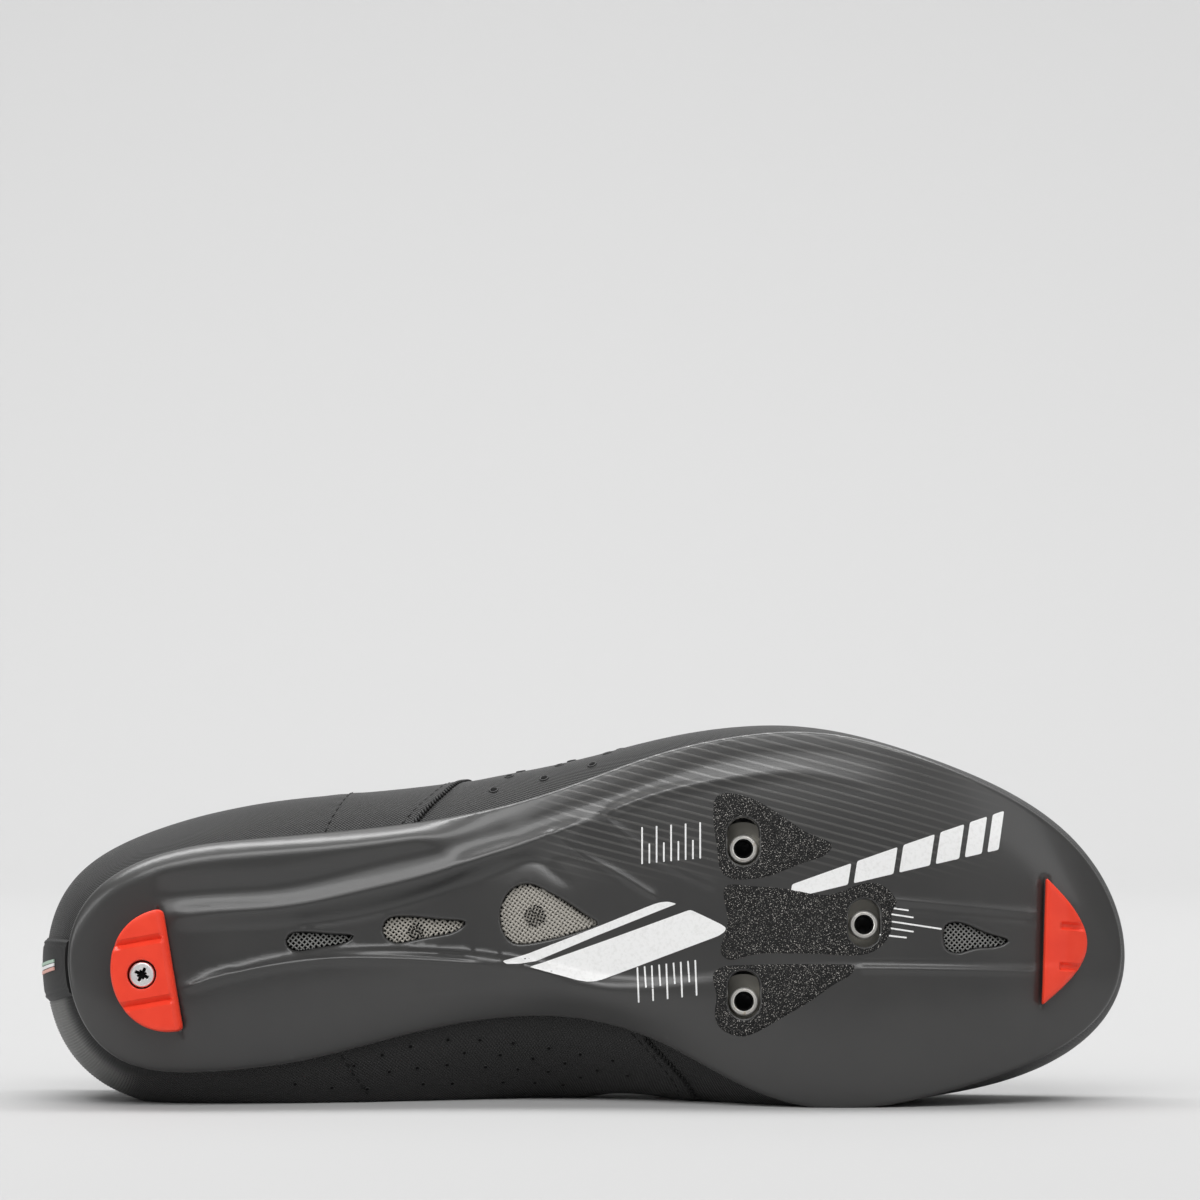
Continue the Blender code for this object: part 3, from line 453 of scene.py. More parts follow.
# %% Lights
def softbox(name, place, aim, size, power):
    """A rectangular soft light at a place, turned towards its aim."""
    data = bpy.data.lights.new(name, "AREA")
    data.shape = "RECTANGLE"
    data.size, data.size_y = size
    data.energy = power
    lamp = linked(name, data)
    lamp.location = place
    lamp.rotation_euler = (Vector(aim) - Vector(place)).to_track_quat("-Z", "Y").to_euler()


ON_SHOE = (0.0, 0.0, 0.05)
LIGHTS = (
    # name, place, aim, size, power in watts
    ("overhead", (0.0, -0.85, 1.25), ON_SHOE, (1.7, 0.5), 13.5),
    ("top_strip", (0.0, 0.35, 1.20), ON_SHOE, (1.6, 0.35), 8.0),
    ("front_fill", (0.0, -1.9, 1.5), ON_SHOE, (1.6, 0.8), 7.0),
    ("left_strip", (-1.4, -0.7, 0.5), ON_SHOE, (0.3, 1.2), 5.0),
    ("wall_wash", (0.0, 0.6, 2.6), (0.0, 2.2, 0.6), (4.0, 1.0), 100.0),
    ("right_fill", (1.5, -1.1, 0.7), (0.1, 0.0, 0.05), (0.6, 0.8), 3.0),
)
ROOM_TONE, ROOM_STRENGTH = (0.9, 0.9, 0.9, 1.0), 0.17
for light in LIGHTS:
    softbox(*light)
bpy.context.scene.view_settings.view_transform = "Standard"
world = bpy.data.worlds.new("studio")
bpy.context.scene.world = world
world.use_nodes = True
background = world.node_tree.nodes["Background"]
background.inputs["Color"].default_value = ROOM_TONE
background.inputs["Strength"].default_value = ROOM_STRENGTH
print("lights:", len(LIGHTS))

# %% [markdown]
# ## The moulded sole: a height for each point of the plan
#
# A carbon sole is pressed in a mould, so from below it is a height field: one depth at each point
# of its plan. The broad form comes from the solid's table of ridges and walls, with a flatter
# outer flank at the forefoot. Crisp crests and creases are added as beads: small bumps whose
# height falls off with the distance to a drawn line. That keeps every ridge sharp without any
# sculpting.

# %% Broad form of the underside
RELIEF_ROWS = (
    # station, lateral ridge, lateral wall, medial wall, medial ridge, body, channel
    (0.00, -0.45, -0.30, 0.20, 0.35, 0.00, 0.00),
    (0.03, -0.45, -0.30, 0.20, 0.35, 0.42, 0.00),
    (0.09, -0.38, -0.18, 0.22, 0.36, 0.72, 0.00),
    (0.15, -0.36, -0.17, 0.12, 0.22, 0.80, 0.40),
    (0.25, -0.43, -0.22, -0.03, 0.07, 0.95, 0.75),
    (0.35, -0.55, -0.41, -0.04, 0.06, 1.00, 1.00),
    (0.43, -0.68, -0.56, 0.10, 0.22, 1.00, 1.00),
    (0.50, -0.77, -0.48, 0.30, 0.50, 0.98, 0.85),
    (0.56, -0.79, -0.34, 0.26, 0.42, 0.88, 0.55),
    (0.64, -0.80, -0.26, 0.12, 0.22, 0.76, 0.25),
    (0.72, -0.80, -0.24, 0.08, 0.14, 0.70, 0.20),
    (0.80, -0.76, -0.24, 0.08, 0.14, 0.66, 0.20),
    (0.90, -0.70, -0.30, 0.10, 0.18, 0.60, 0.18),
    (0.96, -0.60, -0.30, 0.12, 0.20, 0.42, 0.00),
    (1.00, -0.60, -0.30, 0.12, 0.20, 0.00, 0.00),
)
RELIEF = [column(RELIEF_ROWS, k) for k in range(1, 7)]
OUTER_FLANK_HEEL, OUTER_FLANK_GAIN, OUTER_FLANK_TOE_LOSS = 0.0058, 0.0272, 0.0200
DOME_POWER_HEEL, DOME_POWER_GAIN = 0.80, 0.20
TINY = 1e-6


def sole_thickness(x, y):
    """Depth of the sole's broad form below the footbed at plan points."""
    x, y = np.asarray(x, float), np.asarray(y, float)
    station = x / SOLE_LENGTH
    lateral, medial = half_widths(x)
    ridge_l, wall_l = -RELIEF[0](station) * lateral, -RELIEF[1](station) * lateral
    wall_m, ridge_m = RELIEF[2](station) * medial, RELIEF[3](station) * medial
    body = np.clip(RELIEF[4](station), 0.0, 1.0) * (SOLE_DEPTH - RIM_THICKNESS)
    sunk = np.clip(RELIEF[5](station), 0.0, 1.0) * CHANNEL_DEPTH
    reach = OUTER_FLANK_HEEL + OUTER_FLANK_GAIN * ramp(station, 0.32, 0.46)
    reach = reach - OUTER_FLANK_TOE_LOSS * ramp(station, 0.84, 1.0)
    flank_l = np.clip((y - lateral) / reach, 0.0, 1.0)
    flank_m = np.clip((medial - y) / np.maximum(medial - ridge_m, TINY), 0.0, 1.0)
    power = DOME_POWER_HEEL + DOME_POWER_GAIN * ramp(station, 0.34, 0.50)
    dome = np.sin(np.minimum(flank_l, flank_m) * math.pi / 2.0) ** power
    channel = ramp(y, ridge_l, np.maximum(wall_l, ridge_l + TINY))
    channel = channel * (1.0 - ramp(y, wall_m, np.maximum(ridge_m, wall_m + TINY)))
    return RIM_THICKNESS + body * dome - sunk * channel


def underside(x, y):
    """Height of the broad form's lower face."""
    return bed(x) - sole_thickness(x, y)


# %% Drawn lines of the sole
def run_along(line):
    """Length covered along a line up to each of its points."""
    return np.concatenate([[0.0], np.cumsum(np.linalg.norm(np.diff(line, axis=0), axis=1))])


def through(rows, count=110):
    """Smooth plan line through rows in thousandths of the sole's length and of the ball width."""
    rows = np.asarray(rows, float) / 1000 * (SOLE_LENGTH, BALL_WIDTH)
    run = run_along(rows)
    wanted = np.linspace(0.0, run[-1], count)
    return np.stack([Curve(run, rows[:, k])(wanted) for k in range(2)], -1)


def line_distance(x, y, line, closed=False):
    """Distance from plan points to a drawn line, and how far along it they are, from 0 to 1."""
    line = np.asarray(line)
    ends = np.roll(line, -1, 0) if closed else line[1:]
    starts = line if closed else line[:-1]
    best = np.full(np.shape(x), 1e9)
    along = np.zeros(np.shape(x))
    for i, (a, b) in enumerate(zip(starts, ends)):
        d = b - a
        t = np.clip(((x - a[0]) * d[0] + (y - a[1]) * d[1]) / max(d @ d, 1e-18), 0.0, 1.0)
        gap = np.hypot(x - a[0] - t * d[0], y - a[1] - t * d[1])
        along = np.where(gap < best, (i + t) / len(starts), along)
        best = np.minimum(best, gap)
    return best, along


BEADS = (
    # line in thousandths of the sole's length and of the ball width,
    # then height at its start and end, and half width at its start and end, in mm
    (((107, 109), (157, 66), (202, 41), (244, 27), (299, 24), (344, 29), (382, 36), (406, 43)), 0.65,
      0.50, 0.9, 0.8),
    (((150, 57), (202, 28), (244, 14), (299, 11), (344, 16), (390, 28)), -0.50, -0.35, 0.8, 0.8),
    (((119, 85), (169, 45), (229, 18), (269, 4), (302, 0), (344, 6), (385, 20)), 0.30, 0.25, 1.0, 1.0),
    (((90, -84), (150, -98), (206, -108), (256, -138), (306, -173), (344, -203), (393, -252), (430, -288),
      (470, -328), (503, -361)), 1.00, 0.95, 3.0, 1.2),
    (((75, -140), (145, -155), (207, -172), (245, -195), (295, -232), (344, -264), (395, -302),
      (440, -345)), -1.45, -0.70, 4.4, 2.6),
    (((503, -361), (541, -404), (598, -445), (655, -469), (693, -472), (731, -456), (769, -437)), 0.85,
      0.05, 1.2, 1.7),
    (((420, -325), (466, -372), (525, -427), (585, -486), (629, -513), (674, -522), (718, -520),
      (763, -495), (793, -457)), -0.50, -0.10, 2.0, 2.0),
    (((452, -325), (475, -275), (505, -228), (535, -178), (560, -132)), 0.20, 0.50, 0.9, 0.9),
    (((503, -361), (525, -310), (548, -265), (590, -194), (618, -164)), 0.35, 0.30, 1.3, 1.6),
    (((319, 98), (382, 84), (419, 77), (484, 80), (530, 96)), -0.40, -0.15, 1.6, 1.8),
    (((207, -70), (257, -88), (307, -122), (344, -158), (377, -203), (402, -236), (427, -247),
      (444, -240), (457, -212), (482, -164)), -0.50, -0.60, 1.5, 1.2),
    (((769, -132), (830, -118), (920, -98)), 0.32, 0.32, 0.7, 0.7),
    (((769, -112), (830, -99), (920, -80)), -0.22, -0.22, 0.8, 0.8),
    (((741, 35), (830, 38), (920, 40)), -0.25, -0.25, 0.8, 0.8),
    (((741, 52), (830, 55), (920, 58)), 0.28, 0.28, 0.7, 0.7),
    (((84.5, -122), (98, 60), (111.5, 246)), -0.80, -0.80, 0.7, 0.7),
    (((923.5, -210), (921.5, -20), (918.5, 166)), -0.80, -0.60, 0.7, 0.7),
)
BEAD_LINES = [through(rows) for rows, *_ in BEADS]


def bell(t, middle, width):
    """Smooth bump of height 1 at the middle, which falls off over its width to both sides."""
    return np.exp(-((t - middle) / width) ** 2)


def beads(x, y):
    """Extra depth of the sole from its crests and creases."""
    total = np.zeros(np.shape(x))
    for line, (_, high_0, high_1, wide_0, wide_1) in zip(BEAD_LINES, BEADS):
        gap, along = line_distance(x, y, line)
        wide = (wide_0 + (wide_1 - wide_0) * along) * MM
        fade = ramp(along, 0.0, 0.06) * (1.0 - ramp(along, 0.90, 1.0))
        total += (high_0 + (high_1 - high_0) * along) * MM * fade * bell(gap, 0.0, wide)
    return total


print("drawn lines on the sole:", len(BEAD_LINES))


# %% [markdown]
# ## Openings and a mesh that follows them
#
# Vents and cleat slots go right through the sole. Blender's constrained Delaunay triangulation
# fills the plan with even triangles and keeps every line that we hand it, so holes and crests
# get clean edges. Each hole has two extra loops beside it that carry its rounded lip.

# %% Openings in plan
VENT_BLUNT = ((-0.50, -0.10), (-0.44, -0.40), (-0.30, -0.50), (0.00, -0.46), (0.30, -0.38),
              (0.50, -0.24), (0.44, -0.06), (0.16, 0.24), (-0.16, 0.44), (-0.38, 0.50), (-0.48, 0.26))
VENT_WIDE = ((-0.50, 0.00), (-0.45, -0.28), (-0.34, -0.46), (-0.18, -0.50), (-0.04, -0.40),
             (0.22, -0.16), (0.44, 0.08), (0.50, 0.15), (0.40, 0.24), (0.10, 0.38), (-0.20, 0.48),
             (-0.38, 0.46), (-0.47, 0.28))
VENT_TOE = ((-0.50, 0.00), (-0.46, -0.42), (-0.36, -0.50), (0.02, -0.28), (0.36, -0.04),
            (0.50, 0.08), (0.38, 0.24), (-0.04, 0.36), (-0.36, 0.50), (-0.47, 0.34))
VENTS = (
    # name, outline, share of length, side as a share of the ball width, length, width
    ("vent_screen_rear", VENT_BLUNT, 0.238, -0.022, 0.0180, 0.0050),
    ("vent_screen_middle", VENT_BLUNT, 0.336, -0.056, 0.0222, 0.0070),
    ("vent_screen_arch", VENT_WIDE, 0.454, -0.098, 0.0265, 0.0164),
    ("vent_screen_toe", VENT_TOE, 0.857, -0.032, 0.0178, 0.0082),
)
SCREEN_DEPTH, VENT_STEP = 0.0016, 0.0006
CLEAT_STATION, CLEAT_SIDE, CLEAT_REACH, CLEAT_SPREAD = 0.6375, -0.065, 0.0322, 0.0409
SLOT_WIDTH, SLOT_LENGTH = 0.0086, 0.0130
NUTS = (
    # name, along, across, how far the nut sits from the slot's middle towards the medial side
    ("cleat_nut_lateral", 0.0, -0.5, 0.0020),
    ("cleat_nut_medial", 0.0, 0.5, 0.0018),
    ("cleat_nut_front", 1.0, 0.0, 0.0004),
)


def smooth_loop(corners, count):
    """Closed smooth line through corners, evenly spaced."""
    corners = np.asarray(corners, float)
    run = run_along(np.concatenate([corners, corners[:1]]))
    lines = [Curve(run[:-1], corners[:, k], period=run[-1]) for k in range(2)]
    wanted = np.arange(count) * run[-1] / count
    return np.stack([line(wanted) for line in lines], -1)


def grown(loop, distance):
    """A closed loop moved outwards by a distance; negative moves it inwards."""
    along = np.roll(loop, -1, 0) - np.roll(loop, 1, 0)
    normal = np.stack([along[:, 1], -along[:, 0]], -1)
    normal /= np.linalg.norm(normal, axis=1, keepdims=True)
    area = np.sum(loop[:, 0] * np.roll(loop[:, 1], -1) - loop[:, 1] * np.roll(loop[:, 0], -1))
    return loop + normal * distance * np.sign(area)


def vent_loop(vent):
    _, shape, station, side, length, width = vent
    middle = np.array([station * SOLE_LENGTH, side * BALL_WIDTH])
    return smooth_loop(middle + np.array(shape) * (length, width), int(length / VENT_STEP))


def nut_place(nut):
    """Plan place of a nut, and how far it sits from its slot's middle."""
    _, along, across, shift = nut
    x = CLEAT_STATION * SOLE_LENGTH + along * CLEAT_REACH
    return x, CLEAT_SIDE * BALL_WIDTH + across * CLEAT_SPREAD, shift


def slot_loop(nut, steps=14):
    x, y, shift = nut_place(nut)
    radius = SLOT_WIDTH / 2
    reach = SLOT_LENGTH / 2 - radius
    turn = np.pi * np.arange(steps + 1) / steps
    ends = [(turn, reach), (turn + np.pi, -reach)]
    return np.concatenate([
        np.stack([x + radius * np.cos(a), y - shift + away + radius * np.sin(a)], -1) for a, away in ends
    ])


# %% Plan meshes
def inside(points, loop):
    """Even-odd test of many plan points against a closed loop."""
    x, y = points[:, 0], points[:, 1]
    result = np.zeros(len(points), bool)
    for (x0, y0), (x1, y1) in zip(loop, np.roll(loop, -1, 0)):
        if y0 != y1:
            result ^= ((y0 > y) != (y1 > y)) & (x < (x1 - x0) * (y - y0) / (y1 - y0) + x0)
    return result


def plan_triangles(border, holes=(), loops=(), lines=(), step=0.0012):
    """Plan points and triangles inside a border, with holes, that keep the given loops and lines."""
    chains = [(loop, True) for loop in (border, *holes, *loops)] + [(line, False) for line in lines]
    points, edges = [], []
    for chain, closed in chains:
        first = len(points)
        points.extend(map(tuple, chain))
        count = len(chain)
        edges.extend((first + i, first + (i + 1) % count) for i in range(count if closed else count - 1))
    fixed = np.array(points)
    low, high = fixed.min(0), fixed.max(0)
    columns = np.arange(low[0] + step / 2, high[0], step)
    rows = np.arange(low[1] + step / 2, high[1], step * 0.866)
    grid = np.array([(x + step * 0.5 * (j % 2), y) for j, y in enumerate(rows) for x in columns])
    if len(grid):
        keep = inside(grid, border)
        for hole in holes:
            keep &= ~inside(grid, hole)
        grid = grid[keep]
        near = np.full(len(grid), 1e9)
        for start in range(0, len(fixed), 200):
            part = fixed[start:start + 200]
            away = np.hypot(grid[:, None, 0] - part[None, :, 0], grid[:, None, 1] - part[None, :, 1])
            near = np.minimum(near, away.min(1))
        points.extend(map(tuple, grid[near > step * 0.55]))
    flat, _, faces, *_ = delaunay_2d_cdt([Vector(p) for p in points], edges, [], 0, 1e-7)
    flat = np.array([tuple(p) for p in flat])
    faces = np.array([f for f in faces if len(f) == 3])
    middle = flat[faces].mean(1)
    keep = inside(middle, border)
    for hole in holes:
        keep &= ~inside(middle, hole)
    faces = faces[keep]
    a, b, c = flat[faces[:, 0]], flat[faces[:, 1]], flat[faces[:, 2]]
    turn = (b[:, 0] - a[:, 0]) * (c[:, 1] - a[:, 1]) - (b[:, 1] - a[:, 1]) * (c[:, 0] - a[:, 0])
    faces[turn < 0] = faces[turn < 0][:, ::-1]
    used, faces = np.unique(faces, return_inverse=True)
    return flat[used], faces.reshape(-1, 3)


def slab_faces(triangles, count):
    """Faces of a closed slab: the triangles, the same turned over, and the walls between them."""
    shut = np.concatenate([triangles, triangles[:, ::-1] + count])
    edges = np.concatenate([triangles[:, [0, 1]], triangles[:, [1, 2]], triangles[:, [2, 0]]])
    keys = {tuple(edge) for edge in edges.tolist()}
    return shut.tolist() + sorted((b, a, a + count, b + count) for a, b in keys if (b, a) not in keys)


def plate(name, flat, triangles, top, bottom, materials, **options):
    """A closed plate over plan triangles between two heights at each point."""
    points = np.concatenate([np.column_stack([flat, top]), np.column_stack([flat, bottom])])
    return piece(name, settle(points), slab_faces(triangles, len(flat)), materials, **options)


# %% [markdown]
# ## Finish of the sole
#
# The sole is dark resin with a satin lacquer: a soft broad highlight, a very fine grain and a few
# faint cloudy patches. On the outer side of the forefoot the lacquer shows thin slanted stripes
# that fade out, so they are a mask in plan that runs on the piece's own coordinates.

# %% Sole material
def plan_fields(paint):
    """Plan coordinates of the shoe, along and across it, as fields of a material."""
    x, y, z = paint.split(paint.place())
    across = (y - float(PLACE[1])) * -math.sin(LEAN) + (z - float(PLACE[2])) * -math.cos(LEAN)
    return x - float(PLACE[0]), across


STRIPE_PITCH, STRIPE_SLANT = 0.00225, 0.27
sole_paint = Paint("satin resin", (0.038, 0.038, 0.038), 0.30, Specular_IOR_Level=0.5, Coat_Roughness=0.16)
along, across = plan_fields(sole_paint)
cloud = sole_paint.noise(0.030, 3.0, 0.55)
grain = sole_paint.noise(0.00035, 2.0, 0.6)
stripe = ((across - along * STRIPE_SLANT) * (1.0 / STRIPE_PITCH)).fract()
line = sole_paint.step(stripe, 0.30, 0.46) * (1.0 - sole_paint.step(stripe, 0.56, 0.74))
start = sole_paint.step(along, 0.122, 0.140) * (1.0 - sole_paint.step(along, 0.216, 0.256))
side = sole_paint.step(0.0 - across, 0.017, 0.028)
stripes = line * start * side
resin = sole_paint.blend(cloud, (0.029, 0.029, 0.0293), (0.048, 0.0472, 0.0455))
sole_paint.colour(stripes * 0.60, resin, (0.125, 0.123, 0.118))
sole_paint.set("Roughness", 0.29 + cloud * 0.10 + grain * 0.06 - stripes * 0.14)
sole_paint.set("Coat Weight", 0.30 + stripes * 0.15)
sole_paint.bump(grain + stripes * 0.8, 0.00004, 0.6)

# %% [markdown]
# ## The sole itself
#
# The border of the plan is the sole's edge. Three loops just inside it carry a small rounding, so
# the rim catches a thin bright line as the real edge does. Each opening has two such loops, and
# rows of points follow the drawn lines, so that no crest falls between two triangles.

# %% Fine sole
OUTLINE_POINTS = 520
SOLE_STEP = 0.0011
RIM_ROUND, LIP_ROUND = (0.0008, 0.0006), (0.0007, 0.0005)
RIM_CLEARANCE, OPENING_CLEARANCE = 0.003, 0.0013
border_angles = np.arange(OUTLINE_POINTS) * 2 * math.pi / OUTLINE_POINTS
sole_border = np.stack(outline(border_angles), -1)
rim_loops = [np.stack(inset_outline(border_angles, d), -1) for d in (0.0004, 0.0009, 0.0017)]
vent_loops = [vent_loop(vent) for vent in VENTS]
slot_loops = [slot_loop(nut) for nut in NUTS]
openings = vent_loops + slot_loops
lips = [grown(loop, d) for loop in openings for d in (0.0003, 0.0007)]


def opening_distance(x, y):
    """Distance from plan points to the nearest vent or slot."""
    return np.min([line_distance(x, y, loop, True)[0] for loop in openings], axis=0)


def kept_runs(line, wanted):
    """Splits a line into the stretches where wanted holds."""
    runs, run = [], []
    for point, good in zip(line, wanted):
        if good:
            run.append(point)
        else:
            runs.append(run)
            run = []
    return [np.array(r) for r in runs + [run] if len(r) > 2]


def beside(line, distance):
    """An open line moved sideways in plan."""
    along = np.gradient(line, axis=0)
    return line + np.stack([-along[:, 1], along[:, 0]], -1) / np.hypot(*along.T)[:, None] * distance


crest_lines = []
for line, (_, high_0, _, wide_0, wide_1) in zip(BEAD_LINES, BEADS):
    broad = wide_1 > 2.0 or (high_0 < 0 and wide_0 > 0.7)
    if broad:
        continue
    half = min(wide_0, wide_1) * 0.6 * MM
    for off in (-2 * half, -half, 0.0, half, 2 * half):
        track = beside(line, off)
        in_rim = line_distance(*track.T, sole_border, True)[0] > RIM_CLEARANCE
        crest_lines += kept_runs(track, in_rim & (opening_distance(*track.T) > OPENING_CLEARANCE))


def rounding(gap, radius, depth):
    """Depth that a rounded edge takes away at a distance from the edge."""
    t = np.clip(1.0 - gap / radius, 0.0, 1.0)
    return depth * (1.0 - np.sqrt(1.0 - t * t))


def sole_face(x, y, lips_too=True):
    """Height of the finished underside at plan points."""
    x, y = np.asarray(x, float), np.asarray(y, float)
    depth = sole_thickness(x, y) + beads(x, y)
    edge = line_distance(x, y, sole_border[::2], True)[0]
    depth = depth - rounding(edge, *RIM_ROUND)
    if lips_too:
        depth = depth - rounding(opening_distance(x, y), *LIP_ROUND)
    return bed(x) - depth


flat, triangles = plan_triangles(sole_border, openings, [*rim_loops, *lips], crest_lines, SOLE_STEP)
outsole = plate("sole_moulding", flat, triangles, bed(flat[:, 0]), sole_face(*flat.T),
                [sole_paint.material], sharp=50.0)
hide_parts("outsole")
print("sole:", len(flat), "plan points,", len(triangles), "plan triangles")


# %% [markdown]
# ## The upper: one wall wrapped round the foot
#
# A shoe's upper is a sheet pulled over the last and glued under its edge. We describe it the same
# way: at every angle round the sole, a cubic path climbs from the edge to the topline. Tables give
# the paths' ends and their pull, and the fine mesh samples the same paths as the solid does.

# %% Paths of the upper
UPPER_LATERAL = (
    # station, top station, top side, top height, swell, rise, spread, drop
    (0.000, 0.012, 0.010, 1.000, 0.160, 0.210, 0.140, 0.260),
    (0.030, 0.018, -0.130, 0.990, 0.155, 0.200, 0.140, 0.250),
    (0.100, 0.070, -0.235, 0.900, 0.146, 0.180, 0.140, 0.220),
    (0.200, 0.170, -0.275, 0.780, 0.226, 0.160, 0.140, 0.180),
    (0.300, 0.275, -0.270, 0.800, 0.246, 0.160, 0.170, 0.180),
    (0.380, 0.350, -0.235, 0.890, 0.248, 0.180, 0.240, 0.180),
    (0.440, 0.400, -0.195, 0.970, 0.248, 0.200, 0.300, 0.160),
    (0.520, 0.465, -0.165, 0.960, 0.200, 0.230, 0.330, 0.130),
    (0.620, 0.540, -0.145, 0.890, 0.174, 0.250, 0.360, 0.110),
    (0.740, 0.610, -0.130, 0.810, 0.120, 0.270, 0.430, 0.100),
    (0.880, 0.648, -0.100, 0.760, 0.140, 0.300, 0.520, 0.110),
    (1.000, 0.660, -0.040, 0.745, 0.165, 0.340, 0.720, 0.130),
)
UPPER_MEDIAL = (
    (0.030, 0.018, 0.150, 0.990, 0.180, 0.200, 0.140, 0.250),
    (0.100, 0.070, 0.250, 0.910, 0.210, 0.180, 0.150, 0.220),
    (0.200, 0.170, 0.290, 0.800, 0.280, 0.160, 0.160, 0.190),
    (0.300, 0.275, 0.275, 0.820, 0.390, 0.150, 0.180, 0.180),
    (0.380, 0.350, 0.235, 0.900, 0.440, 0.160, 0.230, 0.180),
    (0.440, 0.400, 0.185, 0.970, 0.440, 0.170, 0.280, 0.160),
    (0.520, 0.465, 0.130, 0.960, 0.390, 0.190, 0.320, 0.130),
    (0.620, 0.540, 0.090, 0.890, 0.190, 0.220, 0.350, 0.110),
    (0.740, 0.610, 0.060, 0.810, 0.030, 0.260, 0.420, 0.100),
    (0.880, 0.648, 0.020, 0.760, 0.095, 0.300, 0.510, 0.110),
)
upper_knots = [angle_of(r[0]) for r in UPPER_LATERAL]
upper_knots += [2 * math.pi - angle_of(r[0]) for r in reversed(UPPER_MEDIAL)]
upper_rows = [*UPPER_LATERAL, *reversed(UPPER_MEDIAL)]
TOP_STATION, TOP_SIDE, TOP_HEIGHT, SWELL, RISE, SPREAD, DROP = [
    Curve(upper_knots, [r[k] for r in upper_rows], period=2 * math.pi) for k in range(1, 8)
]


def shell(angle, level):
    """Outer face of the upper, from level 0 at the sole's edge to 1 at the topline."""
    angle, level = np.asarray(angle, float), np.asarray(level, float)
    nx, ny = outline_normal(angle)
    foot_x, foot_y = inset_outline(angle, FEATHER_INSET)
    foot = np.stack([foot_x, foot_y, bed(foot_x) + GAP], -1)
    station = TOP_STATION(angle)
    height = COLLAR_HEIGHT + (INSTEP_HEIGHT - COLLAR_HEIGHT) * ramp((1 - np.cos(angle)) / 2, 0.12, 0.42)
    top = np.stack([station * SOLE_LENGTH, TOP_SIDE(angle) * BALL_WIDTH, TOP_HEIGHT(angle) * height], -1)
    out = np.stack([nx, ny, np.zeros_like(nx)], -1)
    up = np.array([0.0, 0.0, 1.0])
    swell, rise, spread, drop = [
        (pull(angle) * INSTEP_HEIGHT)[..., None] for pull in (SWELL, RISE, SPREAD, DROP)
    ]
    near, far = foot + out * swell + up * rise, top + out * spread - up * drop
    t = level[..., None]
    s = 1.0 - t
    return settle(s ** 3 * foot + 3 * s * s * t * near + 3 * s * t * t * far + t ** 3 * top)


# %% Seams of the upper
SEAM_ROWS = (
    # level, share of length where the vamp tucks under the quarter, lateral and medial
    (0.00, 0.326, 0.540),
    (0.06, 0.339, 0.575),
    (0.14, 0.357, 0.604),
    (0.24, 0.376, 0.622),
    (0.50, 0.412, 0.642),
    (1.00, 0.455, 0.652),
)
SEAM_LATERAL, SEAM_MEDIAL = column(SEAM_ROWS, 1), column(SEAM_ROWS, 2)
COUNTER_LATERAL = Curve((0.0, 0.13, 0.3, 0.7, 1.0), (0.234, 0.249, 0.266, 0.280, 0.270))
COUNTER_MEDIAL = Curve((0.0, 0.3, 0.7, 1.0), (0.250, 0.275, 0.280, 0.262))
EYESTAY_LEVEL = 0.86
STEP = 0.0007


def upper_relief(angle, level):
    """What stands proud of the plain shell: overlays, seams and soft creases, in metres."""
    station = (1.0 - np.cos(angle)) / 2.0
    lateral = np.sin(angle) > 0
    seam = np.where(lateral, SEAM_LATERAL(level), SEAM_MEDIAL(level))
    counter = np.where(lateral, COUNTER_LATERAL(level), COUNTER_MEDIAL(level))
    quarter = 1.0 - ramp(station, seam - 0.0035, seam + 0.0035)
    band = ramp(level, EYESTAY_LEVEL - 0.008, EYESTAY_LEVEL + 0.008)
    lip = bell(station, seam - 0.009, 0.0045) * 0.35
    groove = bell(station, counter, 0.0022) * 0.40
    puff = bell(station, counter + 0.008, 0.007) * 0.25 + bell(station, counter - 0.008, 0.007) * 0.20
    edge = ramp(level, 0.0, 0.08)
    proud = STEP * (0.5 * quarter + 0.5 * band + lip - groove + puff)
    flex = np.sin(station * 230.0 + np.sin(level * 5.0) * 1.6 + lateral * 1.1)
    flex *= ramp(station, 0.66, 0.70) * (1 - ramp(station, 0.78, 0.84)) * ramp(level, 0.12, 0.35)
    flex *= 1 - ramp(level, 0.80, 0.95)
    waist = np.sin(level * 21.0 + station * 26.0) * ramp(station, 0.30, 0.42)
    waist *= (1 - ramp(station, 0.52, 0.64)) * ramp(level, 0.10, 0.3) * (1 - ramp(level, 0.5, 0.75))
    return (proud + STEP * (0.45 * flex + 0.35 * waist)) * edge


# %% [markdown]
# ## Cloth and leather of the upper
#
# The outer face is near-black microfibre with a fine printed weave. A weave must follow the wall
# round the shoe, so it runs on a map that we write ourselves: one unit is one millimetre along the
# edge and up the wall. The lining is a knitted mesh, a second material on the inner faces.


# %% Upper materials
def woven(paint, pitch):
    """Height field, from 0 to 1, of a fine plain weave on the piece's map in millimetres."""
    u, v, _ = paint.split(paint.place("UV"))
    wave = 2 * math.pi / pitch
    warp = (u * wave).sin() * (v * wave).sin()
    diagonal = ((u + v) * (wave * 0.5)).sin().abs()
    return warp * 0.35 + diagonal * 0.25 + 0.4


leather = Paint("woven microfibre", (0.009, 0.009, 0.009), 0.6, Specular_IOR_Level=0.35, Sheen_Weight=0.06,
                Sheen_Roughness=0.4)
weave = woven(leather, 0.95)
nap = leather.noise(0.0011, 3.0, 0.6)
shade = leather.noise(0.045, 2.0, 0.5)
leather.colour(weave * 0.5 + shade * 0.5, (0.010, 0.010, 0.010), (0.028, 0.0278, 0.0273))
leather.set("Roughness", 0.39 + nap * 0.12 + shade * 0.08)
leather.bump(weave + nap * 0.4, 0.00024, 1.0)

